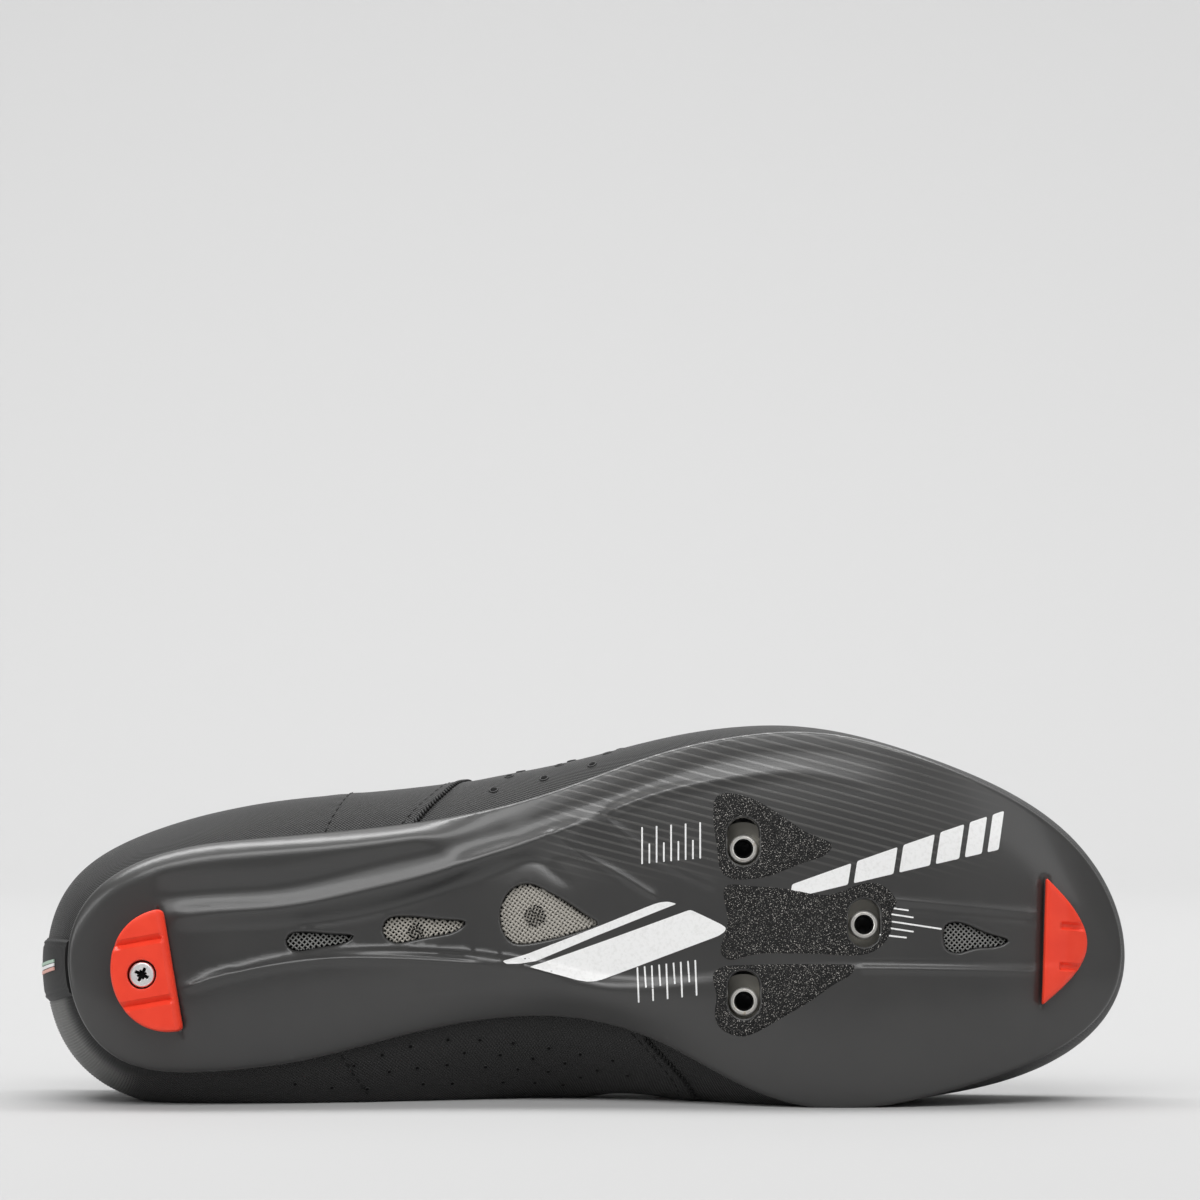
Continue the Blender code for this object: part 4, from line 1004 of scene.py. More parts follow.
lining = Paint("knitted lining", (0.045, 0.045, 0.047), 0.9, Sheen_Weight=0.25)
knit = lining.cells(0.0016)
lining.colour(lining.step(knit, 0.1, 0.6), (0.062, 0.062, 0.066), (0.022, 0.022, 0.024))
lining.bump(1.0 - knit, 0.0003, 0.8)

# %% Fine upper
UPPER_COLUMNS, TOPLINE_ROLL = 400, 0.7
outer_levels = np.concatenate([np.linspace(0.0, 0.04, 4), np.linspace(0.06, 0.84, 40),
                               np.linspace(0.85, 0.87, 5), np.linspace(0.885, 1.0, 8)])
inner_levels = np.concatenate([np.linspace(0.0, 0.9, 18), [0.95, 1.0]])
angles = np.arange(UPPER_COLUMNS) * 2 * math.pi / UPPER_COLUMNS


def wall_at(angle, level):
    """Wall thickness: even, with padding round the ankle."""
    station = (1.0 - np.cos(angle)) / 2.0
    ankle = (1.0 - ramp(station, 0.26, 0.40)) * ramp(level, 0.55, 0.80)
    return WALL + COLLAR_PAD * ankle


def flat_map(along, across):
    """Map of a grid: a pair of sizes for each of its points."""
    return np.stack(np.meshgrid(along, across, indexing="ij"), -1).reshape(-1, 2)


a, v = np.meshgrid(angles, outer_levels, indexing="ij")
outer_base = shell(a, v)
outer_normal = grid_normals(outer_base, closed=True)
outer = settle(outer_base + outer_normal * upper_relief(a, v)[..., None])
ai, vi = np.meshgrid(angles, inner_levels, indexing="ij")
inner_base = shell(ai, vi)
inner = inner_base - grid_normals(inner_base, closed=True) * wall_at(ai, vi)[..., None]
inner[..., 2] = np.maximum(inner[..., 2], bed(inner[..., 0]) + GAP + MARGIN_THICKNESS)
crest_out, crest_in = outer[:, -1], inner[:, -1]
lift = outer[:, -1] - outer[:, -2]
lift /= np.linalg.norm(lift, axis=-1, keepdims=True)
middle, half = (crest_out + crest_in) / 2, (crest_out - crest_in) / 2
crown = lift * np.linalg.norm(half, axis=-1, keepdims=True) * TOPLINE_ROLL
roll = [middle + half * math.cos(t) + crown * math.sin(t) for t in np.linspace(0, math.pi, 8)[1:-1]]
mx, my = inset_outline(angles, MARGIN_WIDTH)
low = np.stack([mx, my, bed(mx) + GAP], -1)
high = low + np.array([0.0, 0.0, MARGIN_THICKNESS])
loop = np.concatenate([outer, np.stack(roll, 1), inner[:, ::-1], high[:, None], low[:, None]], 1)
count = loop.shape[1]
edge_run = run_along(outer[:, 0]) / MM
climb = np.linalg.norm(np.diff(loop, axis=1, append=loop[:, :1]), axis=2).mean(0)
climb = np.concatenate([[0.0], np.cumsum(climb)[:-1]]) / MM
upper_faces = band_faces(UPPER_COLUMNS, count)
outer_count = len(outer_levels) + len(roll) // 2
slots = [0 if k < outer_count or k == count - 1 else 1 for _ in range(UPPER_COLUMNS) for k in range(count)]
upper = piece("upper_shell", loop.reshape(-1, 3), upper_faces, [leather.material, lining.material], slots,
              uv=flat_map(edge_run, climb), sharp=70.0)
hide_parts("upper")
print("upper:", len(upper_faces), "faces,", round(edge_run[-1]), "mm round the sole")


# %% [markdown]
# ## Sections across the instep
#
# The tongue and the two straps lie over the instep. All three follow the same curve: at a given
# distance along the shoe it climbs one side of the upper, bridges the throat and goes down the
# other side. We find that curve once and cut it to length for each of them.

# %% Instep sections
SECTION_DEPTH, BRIDGE_CROWN = 0.62, 0.30


def solve(low, high, below, steps=40):
    """Halves the span between low and high until below(value) changes over."""
    for _ in range(steps):
        middle = (low + high) / 2
        under = below(middle)
        low, high = np.where(under, middle, low), np.where(under, high, middle)
    return low


def at_lengths(wanted, run, line):
    """Places on a line at the wanted lengths along it."""
    return np.stack([np.interp(wanted, run, column) for column in np.transpose(line)], -1)


def side_at(x, levels, medial):
    """Points of one side of the upper, one for each level, at a distance along the shoe."""
    def round_to(angle):
        return 2 * math.pi - angle if medial else angle

    start, end = np.full(len(levels), 0.02), np.full(len(levels), math.pi)
    angle = solve(start, end, lambda a: shell(round_to(a), levels)[..., 0] < x)
    return shell(round_to(angle), levels)


def instep_section(x, reach, count):
    """Points across the closed instep at x, from the lateral to the medial side of the middle."""
    toe, top = np.full(1, math.pi), 1.0
    if x > shell(toe, np.ones(1))[0, 0]:
        top = float(solve(np.full(1, 0.3), np.ones(1), lambda v: shell(toe, v)[..., 0] > x)[0]) - 0.004
    levels = np.linspace(top - SECTION_DEPTH, top, 26)
    left, right = side_at(x, levels, False), side_at(x, levels, True)
    start, end = left[-1], right[-1]
    width = np.linalg.norm(end - start) * BRIDGE_CROWN
    lead_in, lead_out = left[-1] - left[-3], right[-1] - right[-3]
    t = np.linspace(0, 1, 15)[1:-1, None]
    c0 = start + lead_in / np.linalg.norm(lead_in) * width
    c1 = end + lead_out / np.linalg.norm(lead_out) * width
    s = 1 - t
    bridge = s ** 3 * start + 3 * s ** 2 * t * c0 + 3 * s * t * t * c1 + t ** 3 * end
    path = np.concatenate([left, bridge, right[::-1]])
    path[:, 0] = x
    run = run_along(path)
    middle = (run[len(left) - 1] + run[len(left) + len(bridge)]) / 2
    return at_lengths(np.linspace(middle - reach[0], middle + reach[1], count), run, path)


def smooth_rows(rows, along, across):
    """Samples a grid of points more finely with cubic curves, first along it, then across it."""
    s, t = np.linspace(0, 1, rows.shape[0]), np.linspace(0, 1, rows.shape[1])
    fine = np.stack([[Curve(s, rows[:, j, k])(along) for j in range(len(t))] for k in range(3)], -1)
    fine = fine.transpose(1, 0, 2)
    return np.stack([[Curve(t, row[:, k])(across) for row in fine] for k in range(3)], -1)


def sheet_shell(rows, normal, low, high):
    """Closed slab of points between two offsets of a grid, and its faces."""
    count = rows.shape[0] * rows.shape[1]
    grid = np.arange(count).reshape(rows.shape[:2])
    quads = np.stack([grid[:-1, :-1], grid[1:, :-1], grid[1:, 1:], grid[:-1, 1:]], -1).reshape(-1, 4)
    faces = (quads + count).tolist() + quads[:, ::-1].tolist()
    rim = [*grid[:, 0], *grid[-1, 1:], *grid[-2::-1, -1], *grid[0, -2:0:-1]]
    faces += [(b, a, a + count, b + count) for a, b in zip(rim, rim[1:] + rim[:1])]
    points = np.concatenate([(rows + normal * low[..., None]).reshape(-1, 3),
                             (rows + normal * high[..., None]).reshape(-1, 3)])
    return points, faces


def facing_up(rows):
    """A grid of points and its normals, turned over where they would point down."""
    normal = grid_normals(rows)
    if normal[rows.shape[0] // 2, rows.shape[1] // 2, 2] < 0:
        return rows[:, ::-1], -normal[:, ::-1]
    return rows, normal


def quarter_round(share):
    """Rises from 0 to 1 like a quarter of a circle."""
    return np.sqrt(np.maximum(1.0 - (1.0 - np.clip(share, 0.0, 1.0)) ** 2, 0.0))


def edge_fade(rows, radius):
    """From 0 at the rim of a grid to 1 a radius inside it, by distance over the surface."""
    def gaps(points):
        steps = np.linalg.norm(np.diff(points, axis=0), axis=-1)
        run = np.concatenate([np.zeros((1, points.shape[1])), np.cumsum(steps, 0)])
        return np.minimum(run, run[-1] - run)

    near = np.minimum(gaps(rows), gaps(rows.transpose(1, 0, 2)).T)
    return quarter_round(near / radius), near


# %% Straps
STRAP_THICKNESS, STRAP_HEM, HEM_WIDTH, HEM_DEPTH = 0.0017, 0.0024, 0.00055, 0.00028
STRAP_SHOULDER, STRAP_TIP = 0.34, 0.45
STRAPS = (
    # name, share of length at the middle, width, lateral reach, medial reach
    ("strap_instep", 0.470, 0.0260, 0.058, 0.036),
    ("strap_forefoot", 0.585, 0.0220, 0.054, 0.036),
)
strap_rows = {}
for name, station, width, lateral, medial in STRAPS:
    coarse = [instep_section(station * SOLE_LENGTH + s * width, (lateral, medial), 25)
              for s in np.linspace(-0.5, 0.5, 5)]
    rows = smooth_rows(np.array(coarse), np.linspace(0, 1, 33), np.linspace(0, 1, 121))
    tip = np.linspace(0, 1, 121) * (lateral + medial)
    squeeze = STRAP_TIP + (1 - STRAP_TIP) * quarter_round(tip / (width * STRAP_SHOULDER))
    centre = rows[16:17]
    rows, normal = facing_up(centre + (rows - centre) * squeeze[:, None])
    strap_rows[name] = rows, normal
    soft, near = edge_fade(rows, 0.0011)
    low = np.full(near.shape, GAP + STEP)
    high = low + STRAP_THICKNESS * (0.35 + 0.65 * soft) - HEM_DEPTH * bell(near, STRAP_HEM, HEM_WIDTH)
    points, faces = sheet_shell(rows, normal, low, high)
    size = flat_map(np.linspace(0, width / MM, 33), tip / MM)
    strap = piece(name + "_webbing", points, faces, [leather.material], sharp=60.0,
                  uv=np.concatenate([size, size]))
    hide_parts(name)
    print(name, "spans", round((lateral + medial) / MM), "mm over the instep")

# %% [markdown]
# ## Tongue
#
# The tongue is a thin foam pad sewn between two cloths. It is crowned between its stitched
# channels and thins out to its bound edge. Its free end stands up from the throat.

# %% Padded tongue
# share of length, half width as a share of the ball width
TONGUE_ROWS = ((0.410, 0.190), (0.450, 0.250), (0.520, 0.270), (0.600, 0.240), (0.655, 0.200),
               (0.690, 0.170))
TONGUE_TIP_STATION, TONGUE_TIP_RISE, TONGUE_THICKNESS = 0.345, 0.018, 0.0032
TONGUE_TAPER, TONGUE_CORNER, TONGUE_CORNER_WIDTH = 0.22, 0.10, 0.55
QUILT_LINE, QUILT_ROWS, QUILT_DEPTH = 0.42, 11.0, 0.0012
tongue_width = column(TONGUE_ROWS, 1)
rows = []
for station in np.linspace(TONGUE_ROWS[0][0], TONGUE_ROWS[-1][0], 13):
    half = float(tongue_width(station)) * BALL_WIDTH
    rows.append(instep_section(station * SOLE_LENGTH, (half, half), 13))
rows = np.array(rows)
normal = grid_normals(rows)
normal = -normal if normal[6, 6, 2] < 0 else normal
rows = rows - normal * (WALL + GAP + 0.0003)
lean = np.array([TONGUE_TIP_STATION * SOLE_LENGTH - rows[0][6, 0], 0.0, TONGUE_TIP_RISE])
free = []
for share in (1.0, 0.66, 0.33):
    row = rows[0] + lean * share
    row[:, 1] = rows[0][6, 1] + (row[:, 1] - rows[0][6, 1]) * (1 - TONGUE_TAPER * share ** 2)
    free.append(row)
rows = smooth_rows(np.concatenate([np.array(free), rows]), np.linspace(0, 1, 121), np.linspace(0, 1, 65))
across, along = np.linspace(-1, 1, 65)[None, :], np.linspace(0, 1, 121)[:, None]
squeeze = TONGUE_CORNER_WIDTH + (1 - TONGUE_CORNER_WIDTH) * quarter_round(along / TONGUE_CORNER)
rows, normal = facing_up(rows[:, 32:33] + (rows - rows[:, 32:33]) * squeeze[..., None])
soft, near = edge_fade(rows, 0.0045)
channels = bell(np.abs(across), QUILT_LINE, 0.05) * (along > 0.03)
ladder = bell(np.mod(along * QUILT_ROWS + 0.5, 1.0), 0.5, 0.09)
ladder = ladder * (np.abs(across) < QUILT_LINE) * (along > 0.06)
dent = np.maximum(channels, ladder) * QUILT_DEPTH
low = -TONGUE_THICKNESS * (0.30 + 0.70 * soft) + dent * 0.6
high = -TONGUE_THICKNESS * 0.30 * (1 - soft) - dent
points, faces = sheet_shell(rows, normal, low, high)
tongue_cloth = Paint("tongue mesh", (0.024, 0.024, 0.025), 0.85, Sheen_Weight=0.2)
holes = tongue_cloth.cells(0.0013)
tongue_cloth.colour(tongue_cloth.step(holes, 0.15, 0.55), (0.034, 0.034, 0.036), (0.010, 0.010, 0.010))
tongue_cloth.bump(1.0 - holes, 0.00025, 0.8)
tongue = piece("tongue_pad", points, faces, [tongue_cloth.material])
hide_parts("tongue")
print("tongue:", len(faces), "faces")

# %% [markdown]
# ## Heel strip and insole
#
# A folded strip is sewn up the back of the heel over the seam where both quarters meet. Inside the
# shoe lies the insole, a thin foam sheet that cups the heel and rises a little under the arch.

# %% Heel strip
HEEL_STRIP_WIDTH, HEEL_STRIP_LENGTH, HEEL_STRIP_THICKNESS = 0.0180, 0.075, 0.0010
HEEL_STRIP_CENTRE, HEEL_TURN, RIB_LINE_PITCH = -0.03, 1.33, 0.8
half = HEEL_STRIP_WIDTH / (2.0 * HEEL_TURN * HEEL_WIDTH)
strip_angles = HEEL_STRIP_CENTRE + np.linspace(-half, half, 41)
a, v = np.meshgrid(strip_angles, np.linspace(0.006, 0.97, 121), indexing="ij")
rows = shell(a, v)
normal = grid_normals(rows)
across = np.arange(41) * HEEL_STRIP_WIDTH / 40
near = np.broadcast_to(np.minimum(across, across[::-1])[:, None], a.shape)
soft = ramp(near, 0.0, 0.0014)
hem = bell(near, 0.0019, 0.0005) * 0.00025
low = np.full(near.shape, 0.5 * GAP)
high = low + STEP * 0.5 + HEEL_STRIP_THICKNESS * (0.10 + 0.90 * soft) - hem
points, faces = sheet_shell(rows, normal, low, high)
size = flat_map(across / MM, np.linspace(0, HEEL_STRIP_LENGTH / MM, 121))
heel_cloth = Paint("heel webbing", (0.016, 0.016, 0.016), 0.55)
ribbing = heel_cloth.split(heel_cloth.place("UV"))[1]
ribs = (ribbing * (2 * math.pi / RIB_LINE_PITCH)).sin() * 0.5 + 0.5
heel_cloth.colour(ribs, (0.010, 0.010, 0.010), (0.022, 0.022, 0.022))
heel_cloth.bump(ribs, 0.00008, 0.7)
heel = piece("heel_webbing", points, faces, [heel_cloth.material], sharp=60.0,
             uv=np.concatenate([size, size]))
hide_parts("heel_strip")

# %% Insole
INSOLE_THICKNESS, INSOLE_INSET, CUP_WIDTH = 0.0030, 0.0022, 0.011
insole_angles = np.arange(240) * 2 * math.pi / 240
insole_border, *insole_loops = [np.stack(inset_outline(insole_angles, WALL + INSOLE_INSET + d), -1)
                                for d in (0.0, 0.001, 0.0025)]
flat, triangles = plan_triangles(insole_border, (), insole_loops, (), 0.0026)
edge = line_distance(*flat.T, insole_border, True)[0]
cup = 1.0 - ramp(edge, 0.0, CUP_WIDTH)
station = flat[:, 0] / SOLE_LENGTH
arch = ramp(station, 0.2, 0.42) * (1 - ramp(station, 0.48, 0.66)) * (flat[:, 1] > 0)
seat = bed(flat[:, 0]) + GAP + MARGIN_THICKNESS + 2 * GAP
rise = 0.0008 + 0.0009 * (1 - ramp(station, 0.1, 0.3)) + 0.0008 * arch
top = seat + INSOLE_THICKNESS * 0.75 + cup * rise
top -= rounding(edge, 0.0012, 0.0012)
insole_cloth = Paint("insole cloth", (0.05, 0.05, 0.05), 0.85, Sheen_Weight=0.2)
dots = insole_cloth.cells(0.0022)
insole_cloth.colour(insole_cloth.step(dots, 0.2, 0.5), (0.075, 0.075, 0.078), (0.035, 0.035, 0.036))
insole_cloth.bump(dots, 0.0002, 0.6)
insole = plate("insole_foam", flat, triangles, top, seat, [insole_cloth.material])
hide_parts("insole")


# %% [markdown]
# ## Red pads
#
# The heel pad is a D-shaped block of rubber that can be screwed off, and the toe has a thin
# bow-shaped bumper of the same rubber. Their faces are height fields again. The pad has a level
# face, V-shaped grooves and a chamfer along its straight side, and the bumper thins out towards
# the toe between two notches. The edges of both are rounded.

# %% Outlines of the pads
PAD_STATION, PAD_SIDE, PAD_WIDTH, PAD_DEPTH = 0.0745, 0.060, 0.0330, 0.0165
PAD_TURN, PAD_HEIGHT, PAD_GAP = math.radians(-10.0), 0.0052, 0.0004
PAD_GROOVE, PAD_GROOVE_SHARE, PAD_GROOVE_WIDTH = 0.0014, 0.25, 0.0028
PAD_BEVEL_WIDTH, PAD_BEVEL_DEPTH, PAD_SEAT = 0.0024, 0.0017, 0.0045
BUMPER_STATION, BUMPER_SIDE, BUMPER_WIDTH, BUMPER_DEPTH = 0.9475, -0.018, 0.0335, 0.0122
BUMPER_TURN, BUMPER_HEIGHT, BUMPER_EDGE = math.radians(2.4), 0.0030, 0.0006
NOTCH_MIDDLE, NOTCH_SPREAD, NOTCH_HALF_WIDTH, NOTCH_DEPTH = 0.0010, 0.0055, 0.0012, 0.0012
SCREW_RADIUS, SCREW_CLEARANCE = 0.0034, 0.0005
PAD_X, PAD_Y = PAD_STATION * SOLE_LENGTH, PAD_SIDE * HEEL_WIDTH * 1.7
SCREW_X, SCREW_Y = PAD_X - 0.0004, PAD_Y + 0.0006
BUMPER_X, BUMPER_Y = BUMPER_STATION * SOLE_LENGTH, BUMPER_SIDE * BALL_WIDTH


def circle(x, y, radius, count):
    turn = np.linspace(0, 2 * np.pi, count + 1)[:-1]
    return np.stack([x + radius * np.cos(turn), y + radius * np.sin(turn)], -1)


def turned_plan(along, across, x, y, turn):
    """Plan points of a turned piece, from its own coordinates along and across."""
    return np.stack([x + along * math.cos(turn) - across * math.sin(turn),
                     y + along * math.sin(turn) + across * math.cos(turn)], -1)


def d_loop(x, y, width, depth, turn, steps=72):
    """D shape whose straight side faces the toe and is a little shorter than its bow."""
    a = np.pi * np.arange(steps + 1) / steps
    across = -np.cos(a) * width / 2 * np.where((a < TINY) | (a > math.pi - TINY), 0.965, 1.0)
    along = depth / 2 - np.sin(a).clip(0) ** 0.85 * depth
    chord = np.linspace(across[-1], across[0], 42)[1:-1]
    along = np.concatenate([along, np.full(len(chord), along[0])])
    return turned_plan(along, np.concatenate([across, chord]), x, y, turn)


def softened(loop, reach, step=0.0003):
    """A closed loop with its corners rounded by an average over a short reach."""
    ring = np.concatenate([loop, loop[:1]])
    run = run_along(ring)
    count = int(run[-1] / step)
    even = at_lengths(np.arange(count) * run[-1] / count, run, ring)
    turns = range(-int(reach / step / 2), int(reach / step / 2) + 1)
    for _ in range(2):
        even = np.mean([np.roll(even, k, 0) for k in turns], 0)
    return even


def own_plan(x, y, middle, turn):
    """Plan coordinates along and across a turned piece."""
    dx, dy = x - middle[0], y - middle[1]
    return dx * math.cos(turn) + dy * math.sin(turn), dy * math.cos(turn) - dx * math.sin(turn)


# %% Red rubber
rubber = Paint("red rubber", (0.78, 0.026, 0.018), 0.36, Specular_IOR_Level=0.4)
speck = rubber.noise(0.0004, 2.0, 0.5)
mottle = rubber.noise(0.006, 2.0, 0.5)
rubber.colour(mottle, (0.80, 0.042, 0.018), (0.92, 0.066, 0.028))
rubber.set("Roughness", 0.34 + speck * 0.12)
rubber.bump(speck, 0.00004, 0.5)

# %% Heel pad
pad_border = softened(d_loop(SCREW_X, SCREW_Y, PAD_WIDTH, PAD_DEPTH, PAD_TURN), 0.0016)
screw_hole = circle(SCREW_X, SCREW_Y, SCREW_RADIUS + SCREW_CLEARANCE, 48)
groove_lines = []
for side in (-1, 1):
    for off in (-0.5, 0.0, 0.5):
        along = np.linspace(-0.6, 0.6, 60) * PAD_DEPTH
        level = np.full(60, side * PAD_WIDTH * PAD_GROOVE_SHARE + off * PAD_GROOVE_WIDTH)
        groove_lines.append(turned_plan(along, level, PAD_X, PAD_Y, PAD_TURN))
for off in (PAD_BEVEL_WIDTH, 0.0020):
    level = np.linspace(-0.5, 0.5, 60) * PAD_WIDTH
    groove_lines.append(turned_plan(np.full(60, PAD_DEPTH * 0.5 - off), level, PAD_X, PAD_Y, PAD_TURN))


def clear_runs(lines, border, reach=0.0012):
    """The parts of some lines that keep a distance inside a border."""
    runs = []
    for line in lines:
        deep = inside(line, border) & (line_distance(*line.T, border, True)[0] > reach)
        runs += kept_runs(line, deep)
    return runs


groove_lines = clear_runs(groove_lines, pad_border)
pad_loops = [grown(pad_border, -d) for d in (0.00035, 0.0009)]
pad_loops += [grown(screw_hole, d) for d in (0.0002, 0.0005)]
flat, triangles = plan_triangles(pad_border, [screw_hole], pad_loops, groove_lines, 0.0008)
along, across = own_plan(*flat.T, (PAD_X, PAD_Y), PAD_TURN)
edge = line_distance(*flat.T, pad_border, True)[0]
bore = line_distance(*flat.T, screw_hole, True)[0]
off = np.abs(np.abs(across) - PAD_WIDTH * PAD_GROOVE_SHARE)
height = np.full(len(flat), PAD_HEIGHT)
bevel = np.clip((along - PAD_DEPTH * 0.5 + PAD_BEVEL_WIDTH) / PAD_BEVEL_WIDTH, 0.0, 1.0)
groove = np.clip(1.0 - off / (PAD_GROOVE_WIDTH * 0.5), 0.0, 1.0)
height -= PAD_GROOVE * groove * (1.0 - np.minimum(bevel * 4.0, 1.0))
height -= PAD_BEVEL_DEPTH * bevel
height -= rounding(edge, 0.0009, 0.0008) + rounding(bore, 0.0005, 0.0004)
pad_level = float(underside(PAD_X, PAD_Y))
pad_top = np.minimum(underside(*flat.T) - PAD_GAP, pad_level - height + PAD_SEAT)
heel_pad = plate("heel_pad_rubber", flat, triangles, pad_top, pad_level - height, [rubber.material],
                 sharp=28.0)
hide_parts("heel_pad")

# %% Toe bumper
BUMPER_PLACE = (BUMPER_X - 0.0012, BUMPER_Y - 0.0003)
share = np.linspace(0.0, 1.0, 60)
level = (share - 0.5) * BUMPER_WIDTH * 1.03
bow = np.stack([np.sin(share * math.pi).clip(0) * BUMPER_DEPTH - BUMPER_DEPTH / 2, level], -1)
back_edge = np.stack([np.full(58, -BUMPER_DEPTH / 2), -level[1:-1]], -1)
bow = np.concatenate([bow, back_edge])
bumper_border = softened(turned_plan(*bow.T, *BUMPER_PLACE, BUMPER_TURN), 0.0012)
notch_lines = []
for middle in (NOTCH_MIDDLE - NOTCH_SPREAD, NOTCH_MIDDLE + NOTCH_SPREAD):
    for off in (-NOTCH_HALF_WIDTH, -0.0005, 0.0005, NOTCH_HALF_WIDTH):
        along, level = np.linspace(-0.0019, 0.0061, 40), np.full(40, middle + off)
        notch_lines.append(turned_plan(along, level, *BUMPER_PLACE, BUMPER_TURN))
flat, triangles = plan_triangles(bumper_border, (), [grown(bumper_border, -d) for d in (0.00035, 0.0009)],
                                 clear_runs(notch_lines, bumper_border), 0.0007)
along, across = own_plan(*flat.T, BUMPER_PLACE, BUMPER_TURN)
edge = line_distance(*flat.T, bumper_border, True)[0]
height = BUMPER_HEIGHT * (1.0 - 0.6 * ramp(along, -BUMPER_DEPTH * 0.05, BUMPER_DEPTH * 0.5))
from_notch = np.abs(np.abs(across - NOTCH_MIDDLE) - NOTCH_SPREAD)
notch = np.clip((NOTCH_HALF_WIDTH - from_notch) / 0.0007, 0.0, 1.0)
height -= NOTCH_DEPTH * notch * ramp(along, -0.0019, -0.0012)
height -= rounding(edge, 0.0011, 0.0009)
top = underside(*flat.T) - PAD_GAP
bumper = plate("toe_bumper_rubber", flat, triangles, top, top - np.maximum(height, BUMPER_EDGE),
               [rubber.material], sharp=28.0)
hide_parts("toe_bumper")

# %% [markdown]
# ## Metal fittings
#
# The pad's screw is a turned head with a cross recess pressed into it, so it is a small height
# field too. The cleat nuts are turned rings. A lathe profile is only a list of radius and height,
# and a few teeth along the bore make its thread.

# %% Metals
zinc = Paint("zinc plated steel", (0.90, 0.90, 0.90), 0.40, Metallic=1.0)
scratches = zinc.noise(0.0006, 3.0, 0.6)
zinc.set("Roughness", 0.34 + scratches * 0.22)
zinc.bump(scratches, 0.00003, 0.4)
nickel = Paint("nickel steel", (0.88, 0.86, 0.82), 0.30, Metallic=1.0)
tarnish = nickel.noise(0.0025, 3.0, 0.6)
nickel.colour(nickel.step(tarnish, 0.55, 0.80), (0.90, 0.88, 0.84), (0.55, 0.47, 0.34))
nickel.set("Roughness", 0.26 + tarnish * 0.20)
steel = Paint("dull steel", (0.30, 0.29, 0.26), 0.38, Metallic=1.0)
steel.bump(steel.noise(0.0008), 0.00003, 0.5)
shadow_paint = Paint("shadowed recess", (0.003, 0.003, 0.003), 0.8, Specular_IOR_Level=0.15)
shadow_paint.bump(shadow_paint.noise(0.0006), 0.00004, 0.4)

# %% Pad screw with a cross recess
RECESS_DEPTH, WELL_DEPTH = 0.0011, 0.0006
head_border = circle(SCREW_X, SCREW_Y, SCREW_RADIUS, 64)
head_loops = [grown(head_border, -0.0003), grown(head_border, -0.0007)]
flat, triangles = plan_triangles(head_border, (), head_loops, (), 0.00014)
dx, dy = flat[:, 0] - SCREW_X, flat[:, 1] - SCREW_Y
radius, angle = np.hypot(dx, dy), np.arctan2(dy, dx) - 0.45
arms = np.zeros(len(flat))
for wide, reach, spin in ((0.00036, 0.00185, 0.0), (0.00022, 0.00125, math.pi / 4)):
    for quarter in range(2):
        spot = angle - spin - quarter * math.pi / 2
        side, out = np.abs(radius * np.sin(spot)), np.abs(radius * np.cos(spot))
        arm = (1 - ramp(side, wide * 0.75, wide * 1.25)) * (1 - ramp(out, reach * 0.9, reach * 1.1))
        arms = np.maximum(arms, arm)
well = (1 - ramp(radius, 0.0004, 0.0009)) * 0.3
head_face = pad_level - PAD_HEIGHT + 0.0009
head_low = head_face + (RECESS_DEPTH * arms + WELL_DEPTH * well)
head_low += rounding(SCREW_RADIUS - radius, 0.0008, 0.0004)
recessed = arms[triangles].mean(1) > 0.35
slots = [0] * len(triangles) + recessed.astype(int).tolist()
seat = np.full(len(flat), head_face + 0.0022)
screw = plate("heel_pad_screw_head", flat, triangles, seat, head_low, [zinc.material], sharp=35.0)
screw.data.materials.append(shadow_paint.material)
rim_count = len(screw.data.polygons) - len(slots)
screw.data.polygons.foreach_set("material_index", slots + [0] * rim_count)
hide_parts("heel_pad_screw")


# %% Cleat nuts
def lathe(name, x, y, profile, materials, marks, slope, count=72):
    """A ring turned from a closed profile of radius and height, sloped with the footbed."""
    turn = np.arange(count) * 2 * np.pi / count
    r, z = np.asarray(profile, float).T
    dx, dy = np.cos(turn)[:, None] * r, np.sin(turn)[:, None] * r
    points = np.stack([x + dx, y + dy, z + dx * slope], -1)
    return piece(name, points.reshape(-1, 3), band_faces(count, len(r)), materials, marks * count, sharp=30.0)


NUT_RADIUS, NUT_BORE, FLANGE_RADIUS, FLANGE_THICKNESS = 0.0038, 0.0022, 0.0075, 0.0011
NUT_RECESS, NUT_LIFT, THREAD_PITCH, THREAD_DEPTH = 0.0012, 0.0005, 0.0008, 0.00022
for nut in NUTS:
    x, y, _ = nut_place(nut)
    face = float(sole_face(np.array([x]), np.array([y]), False)[0]) + NUT_RECESS
    seat = float(bed(x)) + NUT_LIFT
    top = seat + FLANGE_THICKNESS
    front = [(NUT_BORE + 0.00045, face), (NUT_BORE + 0.00060, face - 0.00010),
             (NUT_RADIUS - 0.00065, face - 0.00010), (NUT_RADIUS - 0.00055, face + 0.00004),
             (NUT_RADIUS - 0.00030, face + 0.00004), (NUT_RADIUS, face + 0.00040),
             (NUT_RADIUS, seat), (FLANGE_RADIUS, seat), (FLANGE_RADIUS, top)]
    bore = [(NUT_BORE, top)]
    depth = top - THREAD_PITCH / 2
    while depth > face + THREAD_PITCH:
        bore += [(NUT_BORE + THREAD_DEPTH, depth), (NUT_BORE, depth - THREAD_PITCH / 2)]
        depth -= THREAD_PITCH
    bore.append((NUT_BORE, face + 0.0005))
    slope = float(bed(x + MM) - bed(x - MM)) / (2 * MM)
    marks = [0] * (len(front) - 3) + [1] * 2 + [2] * (len(bore) + 1)
    finishes = [nickel.material, steel.material, shadow_paint.material]
    ring = lathe(nut[0] + "_ring", x, y, front + bore, finishes, marks, slope)
    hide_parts(nut[0])
print("nuts turned:", len(NUTS))


